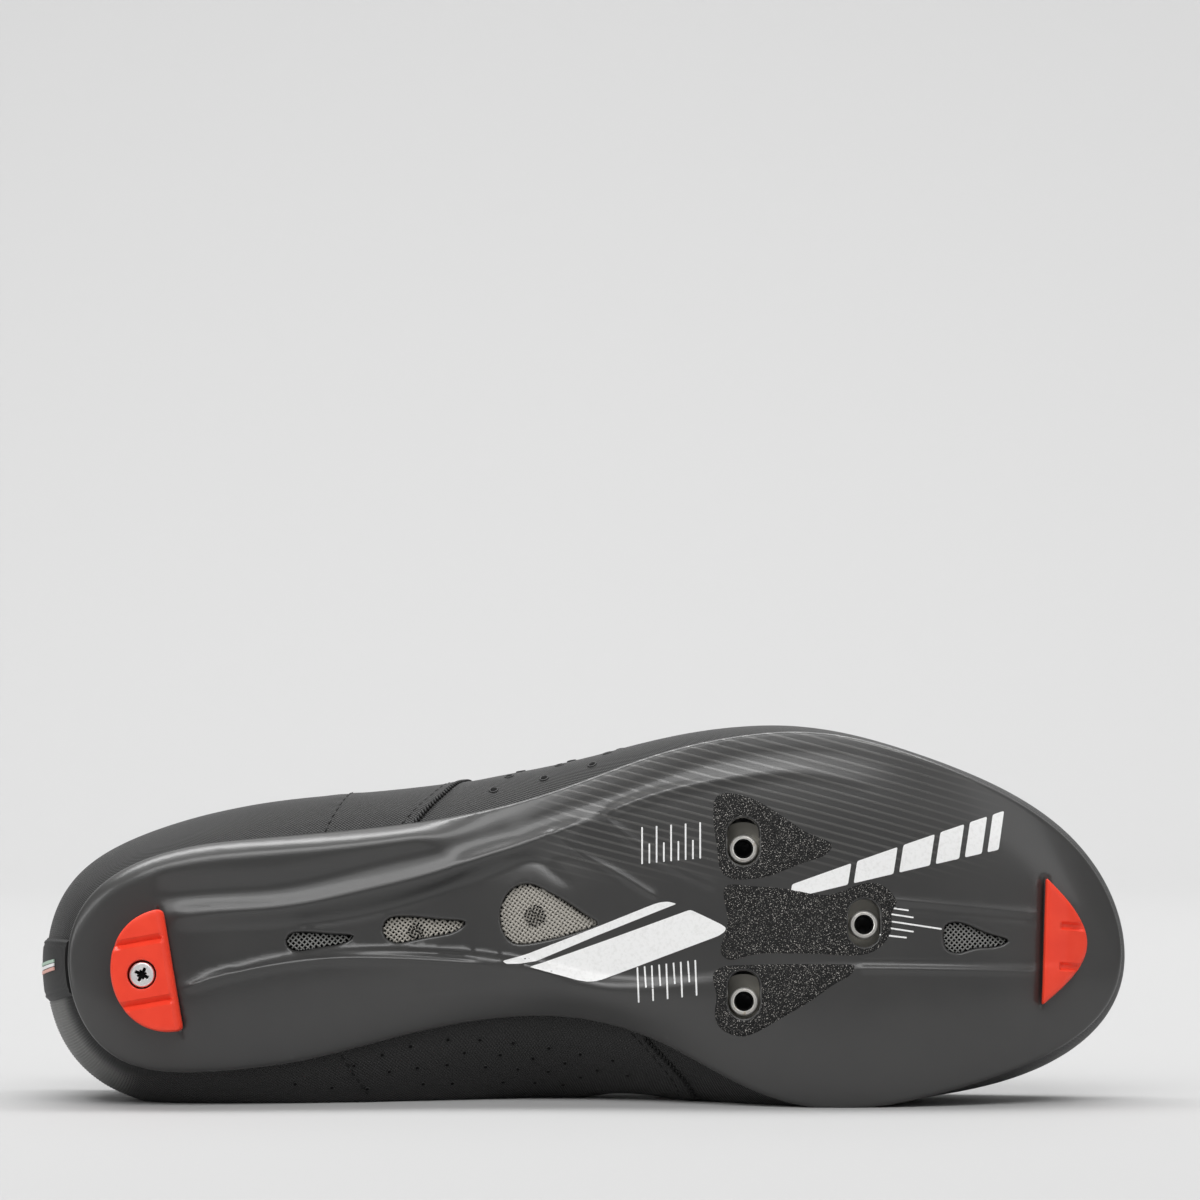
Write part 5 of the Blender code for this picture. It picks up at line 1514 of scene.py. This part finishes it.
# %% [markdown]
# ## Printed marks
#
# The scales beside the cleat slots, the panel and the tapered row of bars are screen printed. Ink
# has a thickness, so each mark is a very thin plate that follows the finished sole. Its plan is a
# short list of corners in millimetres from the heel, across from the middle line.

# %% Ink
ink = Paint("white ink", (0.84, 0.84, 0.835), 0.42, Specular_IOR_Level=0.4)
worn = ink.noise(0.0009, 3.0, 0.6)
ink.colour(ink.step(worn, 0.30, 0.55), (0.80, 0.80, 0.79), (0.87, 0.87, 0.865))
ink.bump(worn, 0.00002, 0.4)
INK_HEIGHT, INK_ROOT = 0.00007, 0.0003


def printed(name, loops, paint, height=INK_HEIGHT, step=0.0013, slot_holes=False, texture=None):
    """One piece from several closed plan loops that lie on the finished sole."""
    points, faces = [], []
    for loop in loops:
        loop = np.asarray(loop, float)
        holes = [h for h in slot_loops if slot_holes and inside(h[:1], loop)[0]]
        holes = [grown(hole, 0.0004) for hole in holes]
        flat, triangles = plan_triangles(loop, holes, (), (), step)
        face = sole_face(*flat.T)
        lift = height if texture is None else texture(flat, loop)
        first = sum(map(len, points))
        points += [np.column_stack([flat, face + INK_ROOT]), np.column_stack([flat, face - lift])]
        faces += [tuple(i + first for i in face) for face in slab_faces(triangles, len(flat))]
    return piece(name, np.concatenate(points), faces, [paint.material], sharp=30.0)


def round_corners(corners, radius, steps=5):
    """Closed outline whose corners are cut by short arcs."""
    corners = np.asarray(corners, float)
    result = []
    for before, corner, after in zip(np.roll(corners, 1, 0), corners, np.roll(corners, -1, 0)):
        back, on = before - corner, after - corner
        reach = min(radius, np.linalg.norm(back) * 0.45, np.linalg.norm(on) * 0.45)
        start = corner + back / np.linalg.norm(back) * reach
        end = corner + on / np.linalg.norm(on) * reach
        for t in np.linspace(0, 1, steps):
            result.append((1 - t) ** 2 * start + 2 * t * (1 - t) * corner + t * t * end)
    return np.array(result)


def densified(loop, step):
    """Adds points to long sides so that a plate can follow a curved face."""
    result = []
    for start, end in zip(loop, np.roll(loop, -1, 0)):
        pieces = max(1, int(np.linalg.norm(end - start) / step))
        result += [start + (end - start) * k / pieces for k in range(pieces)]
    return np.array(result)


def stroke(start, end, width):
    """A straight line of ink with round ends, as a closed loop."""
    start, end = np.asarray(start, float), np.asarray(end, float)
    along = (end - start) / np.linalg.norm(end - start)
    side = np.array([-along[1], along[0]]) * width / 2
    return round_corners([start - side, end - side, end + side, start + side], width * 0.5, 4)


# %% Scales beside the slots and the fan in front of them
STROKE_WIDTH, SCALE_COUNT = 0.00044, 9
MARK_STEP, PANEL_HEIGHT, PANEL_STEP = 0.0012, 0.00018, 0.0008
strokes = []
for k in range(SCALE_COUNT):
    share = k / (SCALE_COUNT - 1)
    x, top, low = 154.5 + 15.6 * share, -33.1 - 1.1 * share, -23.1 - 1.3 * share
    strokes.append(((x, top if k % 2 == 0 else top + 4.6), (x, low)))
    x, top = 153.2 + 15.5 * share, 4.6 - 1.8 * share
    strokes.append(((x, top), (x + 0.35, top + (9.6 if k % 2 == 0 else 5.8))))
strokes += [((218.3, -11.4), (225.9, -10.3)), ((219.6, -9.5), (227.2, -8.4)), ((221.3, -7.3), (234.8, -5.4)),
            ((219.6, -5.7), (227.2, -4.6)), ((218.0, -3.8), (225.3, -3.0))]
stroke_loops = [densified(stroke(np.array(a) * MM, np.array(b) * MM, STROKE_WIDTH), MARK_STEP)
                for a, b in strokes]
printed("printed_scales", stroke_loops, ink)
print("strokes of ink:", len(stroke_loops))

# %% Panel in front of the arch vent
PANEL_BAR = ((116.9, 2.9), (123.5, 0.9), (141.1, -5.8), (157.4, -12.2), (159.5, -12.8), (161.7, -12.9),
             (163.8, -12.3), (158.8, -10.4), (142.2, -3.9), (126.0, 2.8), (122.0, 3.6), (117.8, 3.7))
PANEL_BLOCK = ((124.1, 4.5), (146.0, -3.1), (167.4, -10.7), (171.4, -8.8), (175.8, -6.6), (177.0, -5.7),
               (176.6, -4.7), (175.0, -3.6), (159.5, 2.1), (144.0, 7.8), (141.9, 8.4), (139.8, 8.5),
               (137.2, 8.1), (130.3, 6.2))
panel_loops = [densified(round_corners(np.array(rows) * MM, 0.0006, 3), MARK_STEP)
               for rows in (PANEL_BAR, PANEL_BLOCK)]
printed("printed_panel", panel_loops, ink, height=PANEL_HEIGHT, step=PANEL_STEP)
print("shapes in the panel:", len(panel_loops))

# %% Tapered row of slanted bars on the outer forefoot
BAR_BASE = (np.array((194.0, -13.4)), np.array((255.0, -28.0)))
BAR_WIDTHS = (16.0, 11.0, 8.6, 6.6, 4.8, 3.2)
BAR_GAP, BAR_HEIGHTS, BAR_SLANT = 1.6, (3.6, 10.0), 0.42
bar_loops = []
base_along = (BAR_BASE[1] - BAR_BASE[0]) / np.linalg.norm(BAR_BASE[1] - BAR_BASE[0])
base_out = np.array([base_along[1], -base_along[0]])
run, length = 0.0, sum(BAR_WIDTHS) + BAR_GAP * (len(BAR_WIDTHS) - 1)
for width in BAR_WIDTHS:
    corners = []
    for at, level in ((run, 0.0), (run + width, 0.0), (run + width, 1.0), (run, 1.0)):
        tall = (BAR_HEIGHTS[0] + (BAR_HEIGHTS[1] - BAR_HEIGHTS[0]) * at / length) * level
        corners.append(BAR_BASE[0] + base_along * (at + tall * BAR_SLANT) + base_out * tall)
    bar_loops.append(densified(round_corners(np.array(corners) * MM, 0.0005, 3), MARK_STEP))
    run += width + BAR_GAP
printed("printed_bars", bar_loops, ink)
print("slanted bars:", len(bar_loops))

# %% [markdown]
# ## Gritty grip patches
#
# Around the cleat slots the sole carries a coarse black grit that keeps the cleat from sliding.
# Each patch is a plate whose face is a field of random small facets. A fixed seed makes the same
# grit each time, and flat shading lets single grains sparkle. Pale specks in the colour add
# painted glints on top of that.

# %% Grit
grit = Paint("black grit", (0.004, 0.004, 0.004), 0.5, Specular_IOR_Level=0.4)
grain_spots = grit.cells(0.00042)
sparkle = grit.noise(0.00027, 1.0, 0.4)
# Painted glints: where the fine noise is high, the colour turns pale grey and the finish glossier.
bright = grit.step(sparkle, 0.63, 0.69)
grit.colour(bright, (0.002, 0.002, 0.002), (0.44, 0.42, 0.39))
grit.set("Roughness", 0.62 - bright * 0.35)
grit.bump(grain_spots, 0.0003, 0.9)
GRIP_OUTER = ((173.7, -38.2), (174.1, -40.3), (175.5, -41.7), (177.8, -42.0), (181.5, -41.3), (185.2, -39.9),
              (189.8, -37.1), (194.9, -33.6), (200.7, -30.2), (205.3, -27.3), (203.9, -25.4), (199.6, -23.6),
              (192.0, -20.8), (186.6, -19.1), (182.5, -18.7), (177.9, -19.1), (176.0, -20.6), (174.8, -25.7),
              (173.9, -32.2))
GRIP_MIDDLE = ((177.0, -16.9), (182.5, -17.0), (188.9, -16.5), (197.4, -15.3), (204.5, -14.4), (209.9, -16.2),
               (214.9, -17.6), (219.1, -16.8), (221.8, -14.3), (222.6, -12.2), (221.5, -10.0), (221.3, -6.0),
               (219.1, -1.4), (216.1, 0.8), (213.1, 1.6), (202.8, 1.4), (192.6, 1.2), (182.5, 1.9),
               (176.9, 2.5), (175.9, 1.6), (176.4, -3.2), (177.4, -8.1))
GRIP_INNER = ((173.8, 6.0), (175.8, 4.8), (180.0, 4.3), (192.0, 4.1), (209.6, 4.2), (211.2, 4.6),
              (211.0, 5.7), (207.2, 8.7), (200.1, 13.5), (190.9, 18.9), (184.4, 22.5), (181.7, 23.3),
              (177.9, 22.6), (175.0, 20.6), (173.9, 17.1), (174.3, 12.2))
GRIT_HEIGHT, GRIT_STEP = 0.00022, 0.00048
grit_random = np.random.default_rng(7)


def grit_heights(flat, loop):
    """A random height for each point, which falls to nothing at the patch's edges."""
    edge = line_distance(*flat.T, loop, True)[0]
    holes = np.min([line_distance(*flat.T, hole, True)[0] for hole in slot_loops], axis=0)
    lift = GRIT_HEIGHT * (0.35 + 0.9 * grit_random.random(len(flat)))
    return lift * ramp(np.minimum(edge, holes - 0.0003), 0.0, 0.0006) + 0.00004


for name, rows in (("outer", GRIP_OUTER), ("middle", GRIP_MIDDLE), ("inner", GRIP_INNER)):
    loop = smooth_loop(np.array(rows) * MM, 3 * len(rows) * 2)
    patch = printed("grip_patch_" + name, [loop], grit, step=GRIT_STEP, slot_holes=True, texture=grit_heights)
    patch.data.shade_flat()
    print("grip patch", name, len(patch.data.polygons), "faces")

# %% [markdown]
# ## Geometry Nodes for threads
#
# A screen is a weave: thin threads that run over and under each other. We lay each thread down as
# a bare line of edges, and a small node tree gives it a round section. One tree makes the threads
# of all four vents, because their radius is an input.


# %% Helper: a node tree from a short recipe
def node_tree(name, numbers):
    """An empty Geometry Nodes tree with a mesh input, named number inputs and a material input."""
    tree = bpy.data.node_groups.new(name, "GeometryNodeTree")
    tree.interface.new_socket("Lines", in_out="INPUT", socket_type="NodeSocketGeometry")
    for label, value in numbers.items():
        kind = "NodeSocketInt" if isinstance(value, int) else "NodeSocketFloat"
        socket = tree.interface.new_socket(label, in_out="INPUT", socket_type=kind)
        socket.default_value = value
    tree.interface.new_socket("Finish", in_out="INPUT", socket_type="NodeSocketMaterial")
    tree.interface.new_socket("Result", in_out="OUTPUT", socket_type="NodeSocketGeometry")
    return tree, tree.nodes.new("NodeGroupInput"), tree.nodes.new("NodeGroupOutput")


def add_node(tree, kind, inputs=None, **settings):
    """Adds a node; inputs holds values or output sockets by the input's name or number."""
    node = tree.nodes.new(kind)
    for key, value in settings.items():
        setattr(node, key, value)
    for key, value in (inputs or {}).items():
        if isinstance(value, bpy.types.NodeSocket):
            tree.links.new(value, node.inputs[key])
        else:
            node.inputs[key].default_value = value
    return node.outputs


def grown_piece(name, tree, points, edges, values, finish, vectors=None):
    """Runs a tree on bare points and edges and keeps the result as a plain mesh piece."""
    mesh = bpy.data.meshes.new(name + "_lines")
    mesh.from_pydata(np.asarray(points).tolist(), edges, [])
    for label, rows in (vectors or {}).items():
        attribute = mesh.attributes.new(label, "FLOAT_VECTOR", "POINT")
        attribute.data.foreach_set("vector", np.asarray(rows, np.float32).ravel())
    carrier = linked(name + "_lines", mesh)
    modifier = carrier.modifiers.new("nodes", "NODES")
    modifier.node_group = tree
    for item in tree.interface.items_tree:
        if item.in_out == "INPUT" and item.name in values:
            modifier[item.identifier] = values[item.name]
        if item.in_out == "INPUT" and item.name == "Finish":
            modifier[item.identifier] = finish
    graph = bpy.context.evaluated_depsgraph_get()
    made = bpy.data.meshes.new_from_object(carrier.evaluated_get(graph))
    carrier.modifiers.remove(modifier)
    bpy.data.objects.remove(carrier)
    made.name = name
    result = linked(name, made)
    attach(result, "root")
    return result


# %% The thread tree
def painted_result(tree, given, result, shape):
    """The last step of every tree: its shape gets the finish that was handed in."""
    painted = add_node(tree, "GeometryNodeSetMaterial", {0: shape, "Material": given.outputs["Finish"]})[0]
    tree.links.new(painted, result.inputs[0])
    return tree


def thread_tree():
    """A round thread of a given radius along each line."""
    tree, given, result = node_tree("threads", {"Radius": 0.0003, "Sides": 6})
    curve = add_node(tree, "GeometryNodeMeshToCurve", {0: given.outputs["Lines"]})[0]
    profile = add_node(tree, "GeometryNodeCurvePrimitiveCircle",
                       {"Resolution": given.outputs["Sides"], "Radius": given.outputs["Radius"]})[0]
    tube = add_node(tree, "GeometryNodeCurveToMesh", {0: curve, 1: profile, "Fill Caps": True})[0]
    smooth = add_node(tree, "GeometryNodeSetShadeSmooth", {0: tube})[0]
    real = add_node(tree, "GeometryNodeRealizeInstances", {0: smooth})[0]
    return painted_result(tree, given, result, real)


THREADS = thread_tree()


def line_mesh(lines):
    """Points and edges of several open lines."""
    points = np.concatenate(lines)
    edges, first = [], 0
    for line in lines:
        edges += [(first + i, first + i + 1) for i in range(len(line) - 1)]
        first += len(line)
    return points, edges


# %% Woven vent screens
wire_light = Paint("pale mesh thread", (0.42, 0.40, 0.36), 0.45)
wire_grey = Paint("grey mesh thread", (0.25, 0.25, 0.24), 0.45)
for wire in (wire_light, wire_grey):
    wire.bump(wire.noise(0.0003), 0.00003, 0.6)
WIRE_SETTINGS = {
    # pitch and radius of the threads, turn of the weave in degrees, thread finish
    "vent_screen_rear": (0.00105, 0.00021, 38.0, wire_grey),
    "vent_screen_middle": (0.00100, 0.00029, 36.0, wire_light),
    "vent_screen_arch": (0.00098, 0.00036, 35.0, wire_light),
    "vent_screen_toe": (0.00100, 0.00021, 40.0, wire_grey),
}
for vent, loop in zip(VENTS, vent_loops):
    pitch, radius, turn, finish = WIRE_SETTINGS[vent[0]]
    middle, reach = loop.mean(0), np.ptp(loop, axis=0).max() * 0.75
    edge_loop = grown(loop, -0.00015)
    lines = []
    for family, spin in enumerate((math.radians(turn), math.radians(turn) + math.pi / 2)):
        forward = np.array([math.cos(spin), math.sin(spin)])
        sideways = np.array([-forward[1], forward[0]])
        rows = np.arange(-int(reach / pitch), int(reach / pitch) + 1)
        spots = np.arange(-reach, reach, pitch / 4)
        for row in rows:
            flat = middle + forward * spots[:, None] + sideways * row * pitch
            wave = np.cos(math.pi * spots / pitch) * (-1) ** (row % 2) * (1 if family else -1)
            lift = SCREEN_DEPTH + radius + wave * radius * 0.75
            line = to_row(np.column_stack([flat, underside(*flat.T) + lift]))
            lines += kept_runs(line, inside(flat, edge_loop))
    points, edges = line_mesh(lines)
    name = vent[0].replace("screen", "mesh")
    wires = grown_piece(name, THREADS, points, edges, {"Radius": radius, "Sides": 5}, finish.material)
    # Behind the threads lies a thin sheet of painted shade, in the shadowed recess paint, that stands for the
    # dark hollow of the vent.
    flat, triangles = plan_triangles(grown(loop, -0.0002), (), (), (), 0.0015)
    back = underside(*flat.T) + SCREEN_DEPTH + 3.2 * radius
    plate(name + "_backing", flat, triangles, back + 0.0003, back, [shadow_paint.material])
    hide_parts(vent[0])
    print(name, "has", len(lines), "threads")


# %% [markdown]
# ## Stitches and perforations
#
# A stitch is a short bead of thread, and a perforation is a small hole with a puckered lip. The
# hole itself is not cut: a flat dark bead of painted shade sits inside the lip. Both repeat along
# or over the upper, so a node tree sets a small shape on each of a list of points and turns it by
# two vectors: away from the surface, and along the seam. One tree makes beads, and another makes
# the rings of the lips.


# %% The stud tree and the eyelet tree
def turned_instances(tree, given, shape):
    """The shape on each point, turned by the point's own two directions."""
    away = add_node(tree, "GeometryNodeInputNamedAttribute", {"Name": "away"}, data_type="FLOAT_VECTOR")[0]
    along = add_node(tree, "GeometryNodeInputNamedAttribute", {"Name": "along"}, data_type="FLOAT_VECTOR")[0]
    turn = add_node(tree, "FunctionNodeAxesToRotation", {0: away, 1: along},
                    primary_axis="Z", secondary_axis="X")[0]
    spots = add_node(tree, "GeometryNodeMeshToPoints", {0: given.outputs["Lines"]})[0]
    placed = add_node(tree, "GeometryNodeInstanceOnPoints",
                      {"Points": spots, "Instance": shape, "Rotation": turn})[0]
    return add_node(tree, "GeometryNodeRealizeInstances", {0: placed})[0]


def stud_tree():
    """A rounded bead of a given length, width and height on each point."""
    tree, given, result = node_tree("studs", {"Length": 0.002, "Width": 0.0006, "Height": 0.0004})
    ball = add_node(tree, "GeometryNodeMeshUVSphere", {"Segments": 8, "Rings": 5, "Radius": 0.5})[0]
    size = add_node(tree, "ShaderNodeCombineXYZ", {0: given.outputs["Length"], 1: given.outputs["Width"],
                                                   2: given.outputs["Height"]})[0]
    bead = add_node(tree, "GeometryNodeTransform", {"Geometry": ball, "Scale": size})[0]
    smooth = add_node(tree, "GeometryNodeSetShadeSmooth", {0: bead})[0]
    return painted_result(tree, given, result, turned_instances(tree, given, smooth))


def lip_tree():
    """A thin rounded ring of a given radius and thickness on each point."""
    tree, given, result = node_tree("lips", {"Radius": 0.0008, "Thickness": 0.00025})
    path = add_node(tree, "GeometryNodeCurvePrimitiveCircle",
                    {"Resolution": 14, "Radius": given.outputs["Radius"]})[0]
    section = add_node(tree, "GeometryNodeCurvePrimitiveCircle",
                       {"Resolution": 6, "Radius": given.outputs["Thickness"]})[0]
    ring = add_node(tree, "GeometryNodeCurveToMesh", {0: path, 1: section})[0]
    smooth = add_node(tree, "GeometryNodeSetShadeSmooth", {0: ring})[0]
    return painted_result(tree, given, result, turned_instances(tree, given, smooth))


STUDS, LIPS = stud_tree(), lip_tree()


# %% Points and directions on the upper
def on_upper(angle, level):
    """Points on the finished upper, with the directions away from it, round it and up it."""
    angle, level = np.asarray(angle, float), np.clip(np.asarray(level, float), 0.004, 0.996)
    round_it = shell(angle + 0.003, level) - shell(angle - 0.003, level)
    up_it = shell(angle, level + 0.003) - shell(angle, level - 0.003)
    away = np.cross(round_it, up_it)
    away /= np.linalg.norm(away, axis=-1, keepdims=True)
    spot = shell(angle, level) + away * upper_relief(angle, level)[..., None]
    return spot, away, round_it / np.linalg.norm(round_it, axis=-1, keepdims=True), up_it


def turned_down(vectors):
    """Directions of the shoe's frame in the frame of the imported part."""
    return to_row(vectors) - PLACE


def seam_stitches(angle, level, pitch, slant=0.0):
    """Evenly spaced stitches along a line on the upper: places, away and along."""
    spot, away, _, _ = on_upper(angle, level)
    run = run_along(spot)
    wanted = np.arange(pitch / 2, run[-1], pitch)
    place, out = at_lengths(wanted, run, spot), at_lengths(wanted, run, away)
    along = at_lengths(wanted + pitch * 0.3, run, spot) - place
    along /= np.maximum(np.linalg.norm(along, axis=1, keepdims=True), 1e-12)
    side = np.cross(out, along)
    along = along * math.cos(slant) + side * math.sin(slant)
    return place, out, along


FLOOR_CLEARANCE = 0.0011


def scattered(name, tree, sets, values, finish):
    """Repeats a small shape at spots on the shoe, apart from those that would reach into the floor."""
    place, out, along = [np.concatenate(group) for group in zip(*sets)]
    clear = to_row(place)[:, 2] > FLOOR_CLEARANCE
    place, out, along = place[clear], out[clear], along[clear]
    vectors = {"away": turned_down(out), "along": turned_down(along)}
    return grown_piece(name, tree, to_row(place), [], values, finish.material, vectors)


def angle_at(station, medial=False):
    """Angle round the sole at a share of its length, on the lateral or the medial side."""
    angle = np.arccos(1.0 - 2.0 * np.asarray(station, float))
    return 2 * math.pi - angle if medial else angle


# %% Threads of the upper
thread_paint = Paint("black thread", (0.005, 0.005, 0.005), 0.45, Specular_IOR_Level=0.3)
twist = thread_paint.noise(0.0002, 2.0, 0.5)
thread_paint.bump(twist, 0.00004, 0.7)
STITCH_PITCH = 0.0027
ROPE_TWIST = {"Length": 0.0021, "Width": 0.00095, "Height": 0.0011}
STITCH = {"Length": 0.0020, "Width": 0.00050, "Height": 0.00045}
levels = np.linspace(0.01, 0.84, 160)
rope = [seam_stitches(angle_at(SEAM_LATERAL(levels) - 0.002), levels, 0.00115, 0.9)]
rope.append(seam_stitches(angle_at(SEAM_MEDIAL(levels) - 0.002, True), levels, 0.00125, -0.9))
scattered("seam_rope", STUDS, rope, ROPE_TWIST, thread_paint)
rows = []
for medial, counter, seam in ((False, COUNTER_LATERAL, SEAM_LATERAL), (True, COUNTER_MEDIAL, SEAM_MEDIAL)):
    for line, shift in ((counter, 0.0055), (seam, -0.015)):
        rows.append(seam_stitches(angle_at(line(levels) + shift, medial), levels, STITCH_PITCH))
turn = np.linspace(0.16, 2 * math.pi - 0.22, 900)
for level in (EYESTAY_LEVEL + 0.028, 0.965):
    rows.append(seam_stitches(turn, np.full(900, level), STITCH_PITCH))
scattered("upper_stitches", STUDS, rows, STITCH, thread_paint)
print("stitches on the upper:", sum(len(group[0]) for group in rows + rope))

# %% Perforations: (share of length, level) on each side
HOLES_LATERAL = ((0.4067, 0.114), (0.4287, 0.208), (0.4559, 0.104), (0.4802, 0.210), (0.5015, 0.098),
                 (0.5250, 0.200), (0.4500, 0.310), (0.5020, 0.305), (0.4300, 0.420), (0.4780, 0.410),
                 (0.5300, 0.400), (0.5480, 0.300))
HOLES_MEDIAL = ((0.320, 0.038), (0.3555, 0.040), (0.3859, 0.054), (0.4187, 0.072), (0.4559, 0.090),
                (0.4904, 0.104), (0.5259, 0.110), (0.2929, 0.044), (0.3691, 0.084), (0.4047, 0.104),
                (0.4398, 0.122), (0.4762, 0.138), (0.5147, 0.158), (0.5491, 0.166), (0.2656, 0.058),
                (0.2956, 0.104), (0.3219, 0.108), (0.3506, 0.114), (0.3888, 0.140), (0.4237, 0.158),
                (0.459, 0.172), (0.4995, 0.196), (0.2112, 0.094), (0.2426, 0.132), (0.2728, 0.160),
                (0.3247, 0.176), (0.3535, 0.190), (0.4077, 0.208), (0.4458, 0.224), (0.4820, 0.240))
# The holes are dark beads of painted shade, in the shadowed recess paint, inside each lip.
PERFORATIONS = (
    # name, tree, sizes on the lateral and on the medial side, finish
    ("lips", LIPS, {"Radius": 0.00112, "Thickness": 0.00030}, {"Radius": 0.00055, "Thickness": 0.00016},
     leather),
    ("holes", STUDS, {"Length": 0.00225, "Width": 0.00200, "Height": 0.00060},
     {"Length": 0.00110, "Width": 0.00100, "Height": 0.00040}, shadow_paint),
)
hole_sets = []
for holes, medial in ((HOLES_LATERAL, False), (HOLES_MEDIAL, True)):
    station, level = np.array(holes).T
    hole_sets.append(on_upper(angle_at(station, medial), level)[:3])
for kind, tree, large, small, finish in PERFORATIONS:
    scattered("perforation_" + kind, tree, hole_sets[:1], large, finish)
    scattered("perforation_small_" + kind, tree, hole_sets[1:], small, finish)
print("perforations:", len(HOLES_LATERAL) + len(HOLES_MEDIAL))

# %% Stitches on the straps
strap_sets = []
for name, (rows, normal) in strap_rows.items():
    for line in (2, -3):
        spot = rows[line, 4:-3] + normal[line, 4:-3] * (GAP + STEP + STRAP_THICKNESS)
        run = run_along(spot)
        wanted = np.arange(0.001, run[-1], STITCH_PITCH)
        place, out = at_lengths(wanted, run, spot), at_lengths(wanted, run, normal[line, 4:-3])
        along = at_lengths(wanted + 0.0005, run, spot) - place
        along[-1] = along[-2]
        strap_sets.append((place, out, along / np.linalg.norm(along, axis=1, keepdims=True)))
STRAP_STITCH = {"Length": 0.0019, "Width": 0.0005, "Height": 0.0005}
scattered("strap_stitches", STUDS, strap_sets, STRAP_STITCH, thread_paint)
print("stitches on the straps:", sum(len(group[0]) for group in strap_sets))

# %% [markdown]
# ## Details at the heel
#
# Below the heel strip a silver-grey ribbed band runs along the lasting edge and fades out, and the
# strip carries three thin slanted stripes. The ribs are real ridges on a thin sheet: four columns
# of points make one rib.

# %% Ribbed band
RIB_PITCH, RIB_HEIGHT = 0.00078, 0.00020
band_turn = np.linspace(-0.137, -0.80, 600)
run = run_along(shell(band_turn, np.full(600, 0.15)))
band_columns = int(run[-1] / RIB_PITCH) * 4
band_angles = np.interp(np.linspace(0, run[-1], band_columns + 1), run, band_turn)
fade = 1 - np.linspace(0, 1, band_columns + 1)
band_levels = np.linspace(0.012, 0.40, 26)
a, v = np.meshgrid(band_angles, band_levels, indexing="ij")
rows = shell(a, v)
normal = -grid_normals(rows)
soft, _ = edge_fade(rows, 0.0008)
ribs = (1 + np.cos(np.arange(band_columns + 1) * math.pi / 2))[:, None] / 2
thick = fade[:, None]
high = 0.00012 + 0.00030 * soft * (0.35 + 0.65 * thick) + RIB_HEIGHT * ribs * (0.25 + 0.75 * thick)
sink = -0.0006 * ramp(np.linspace(0, 1, band_columns + 1), 0.45, 1.0)[:, None]
points, faces = sheet_shell(rows, normal, np.full(a.shape, -0.0009), high + sink)
band_map = flat_map(1 - fade, band_levels)
silver = Paint("silver ribbed band", (0.10, 0.10, 0.097), 0.45)
share, level, _ = silver.split(silver.place("UV"))
shine = (1.0 - silver.step(share, 0.30, 0.80)) * silver.step(level, 0.03, 0.12)
silver.colour(shine, (0.008, 0.008, 0.008), (0.135, 0.135, 0.13))
silver.set("Roughness", 0.40 + silver.noise(0.004, 3.0, 0.6) * 0.25)
piece("heel_ribbed_band", points, [face[::-1] for face in faces], [silver.material], sharp=70.0,
      uv=np.concatenate([band_map, band_map]))
print("ribbed band:", band_columns // 4, "ribs")

# %% Three thin stripes on the heel strip
STRIPE_HALF_WIDTH = 0.00042
STRIPE_PAINTS = (Paint("pale green thread", (0.42, 0.56, 0.46), 0.5),
                 Paint("white thread", (0.85, 0.85, 0.85), 0.5),
                 Paint("pale red thread", (0.72, 0.40, 0.34), 0.5))
for k, finish in enumerate(STRIPE_PAINTS):
    finish.bump(finish.noise(0.0003), 0.00003, 0.5)
    share = np.linspace(0, 1, 9)
    mid_angle = -0.030 - 0.0135 * (k - 1) + 0.012 * (1 - share)
    mid_level = 0.095 + 0.19 * share
    centre, away, round_it, _ = on_upper(mid_angle, mid_level)
    lift = away * (0.5 * GAP + STEP * 0.5 + HEEL_STRIP_THICKNESS + 0.00003)
    sides = np.linspace(-1, 1, 5) * STRIPE_HALF_WIDTH
    rows = np.stack([centre + lift + round_it * side for side in sides], 0)
    points, faces = sheet_shell(rows, np.broadcast_to(away, rows.shape), np.full(rows.shape[:2], -0.0003),
                                np.full(rows.shape[:2], 0.00006))
    piece("heel_stripe_%d" % (k + 1), points, faces, [finish.material])
print("heel stripes:", len(STRIPE_PAINTS))

# %% [markdown]
# ## Open meshes of the vents
#
# Behind the two larger vents a round hole in the inner sole leaves the mesh open, so its gaps look
# darker there. A flat bead of shadow in each gap of a round patch gives that look, and the stud
# tree repeats it.

# %% Round window of open meshes in the two larger vents
WINDOWS = (
    # vent, middle along and across the shoe in mm, radius in mm
    ("vent_screen_middle", (93.5, -5.2), 2.15),
    ("vent_screen_arch", (125.6, -9.4), 2.95),
)
WINDOW_PITCH, WINDOW_TURN = 0.00086, 20.0
OPEN_MESH = {"Length": 0.00064, "Width": 0.00056, "Height": 0.00034}


def settled_direction(x, y, z):
    """A direction where the shoe is pressed onto the floor, as a row of one."""
    return settle(np.array([[x, y, z]])) - settle(np.zeros((1, 3)))


window_sets = []
for name, middle, reach in WINDOWS:
    _, radius, turn, _ = WIRE_SETTINGS[name]
    count = int(reach * MM / WINDOW_PITCH) + 1
    i, j = np.meshgrid(np.arange(-count, count + 1), np.arange(-count, count + 1), indexing="ij")
    spin = math.radians(turn - WINDOW_TURN)
    dx, dy = i.ravel() * WINDOW_PITCH, j.ravel() * WINDOW_PITCH
    near = np.hypot(dx, dy) < reach * MM
    x = middle[0] * MM + (dx * math.cos(spin) - dy * math.sin(spin))[near]
    y = middle[1] * MM + (dx * math.sin(spin) + dy * math.cos(spin))[near]
    spots = np.column_stack([x, y, underside(x, y) + SCREEN_DEPTH - 1.2 * radius])
    out = np.broadcast_to(settled_direction(0.0, 0.0, -1.0), spots.shape)
    round_it = np.broadcast_to(settled_direction(math.cos(spin), math.sin(spin), 0.0), spots.shape)
    window_sets.append((settle(spots), out, round_it))
scattered("vent_open_meshes", STUDS, window_sets, OPEN_MESH, shadow_paint)
print("open meshes:", sum(len(group[0]) for group in window_sets))
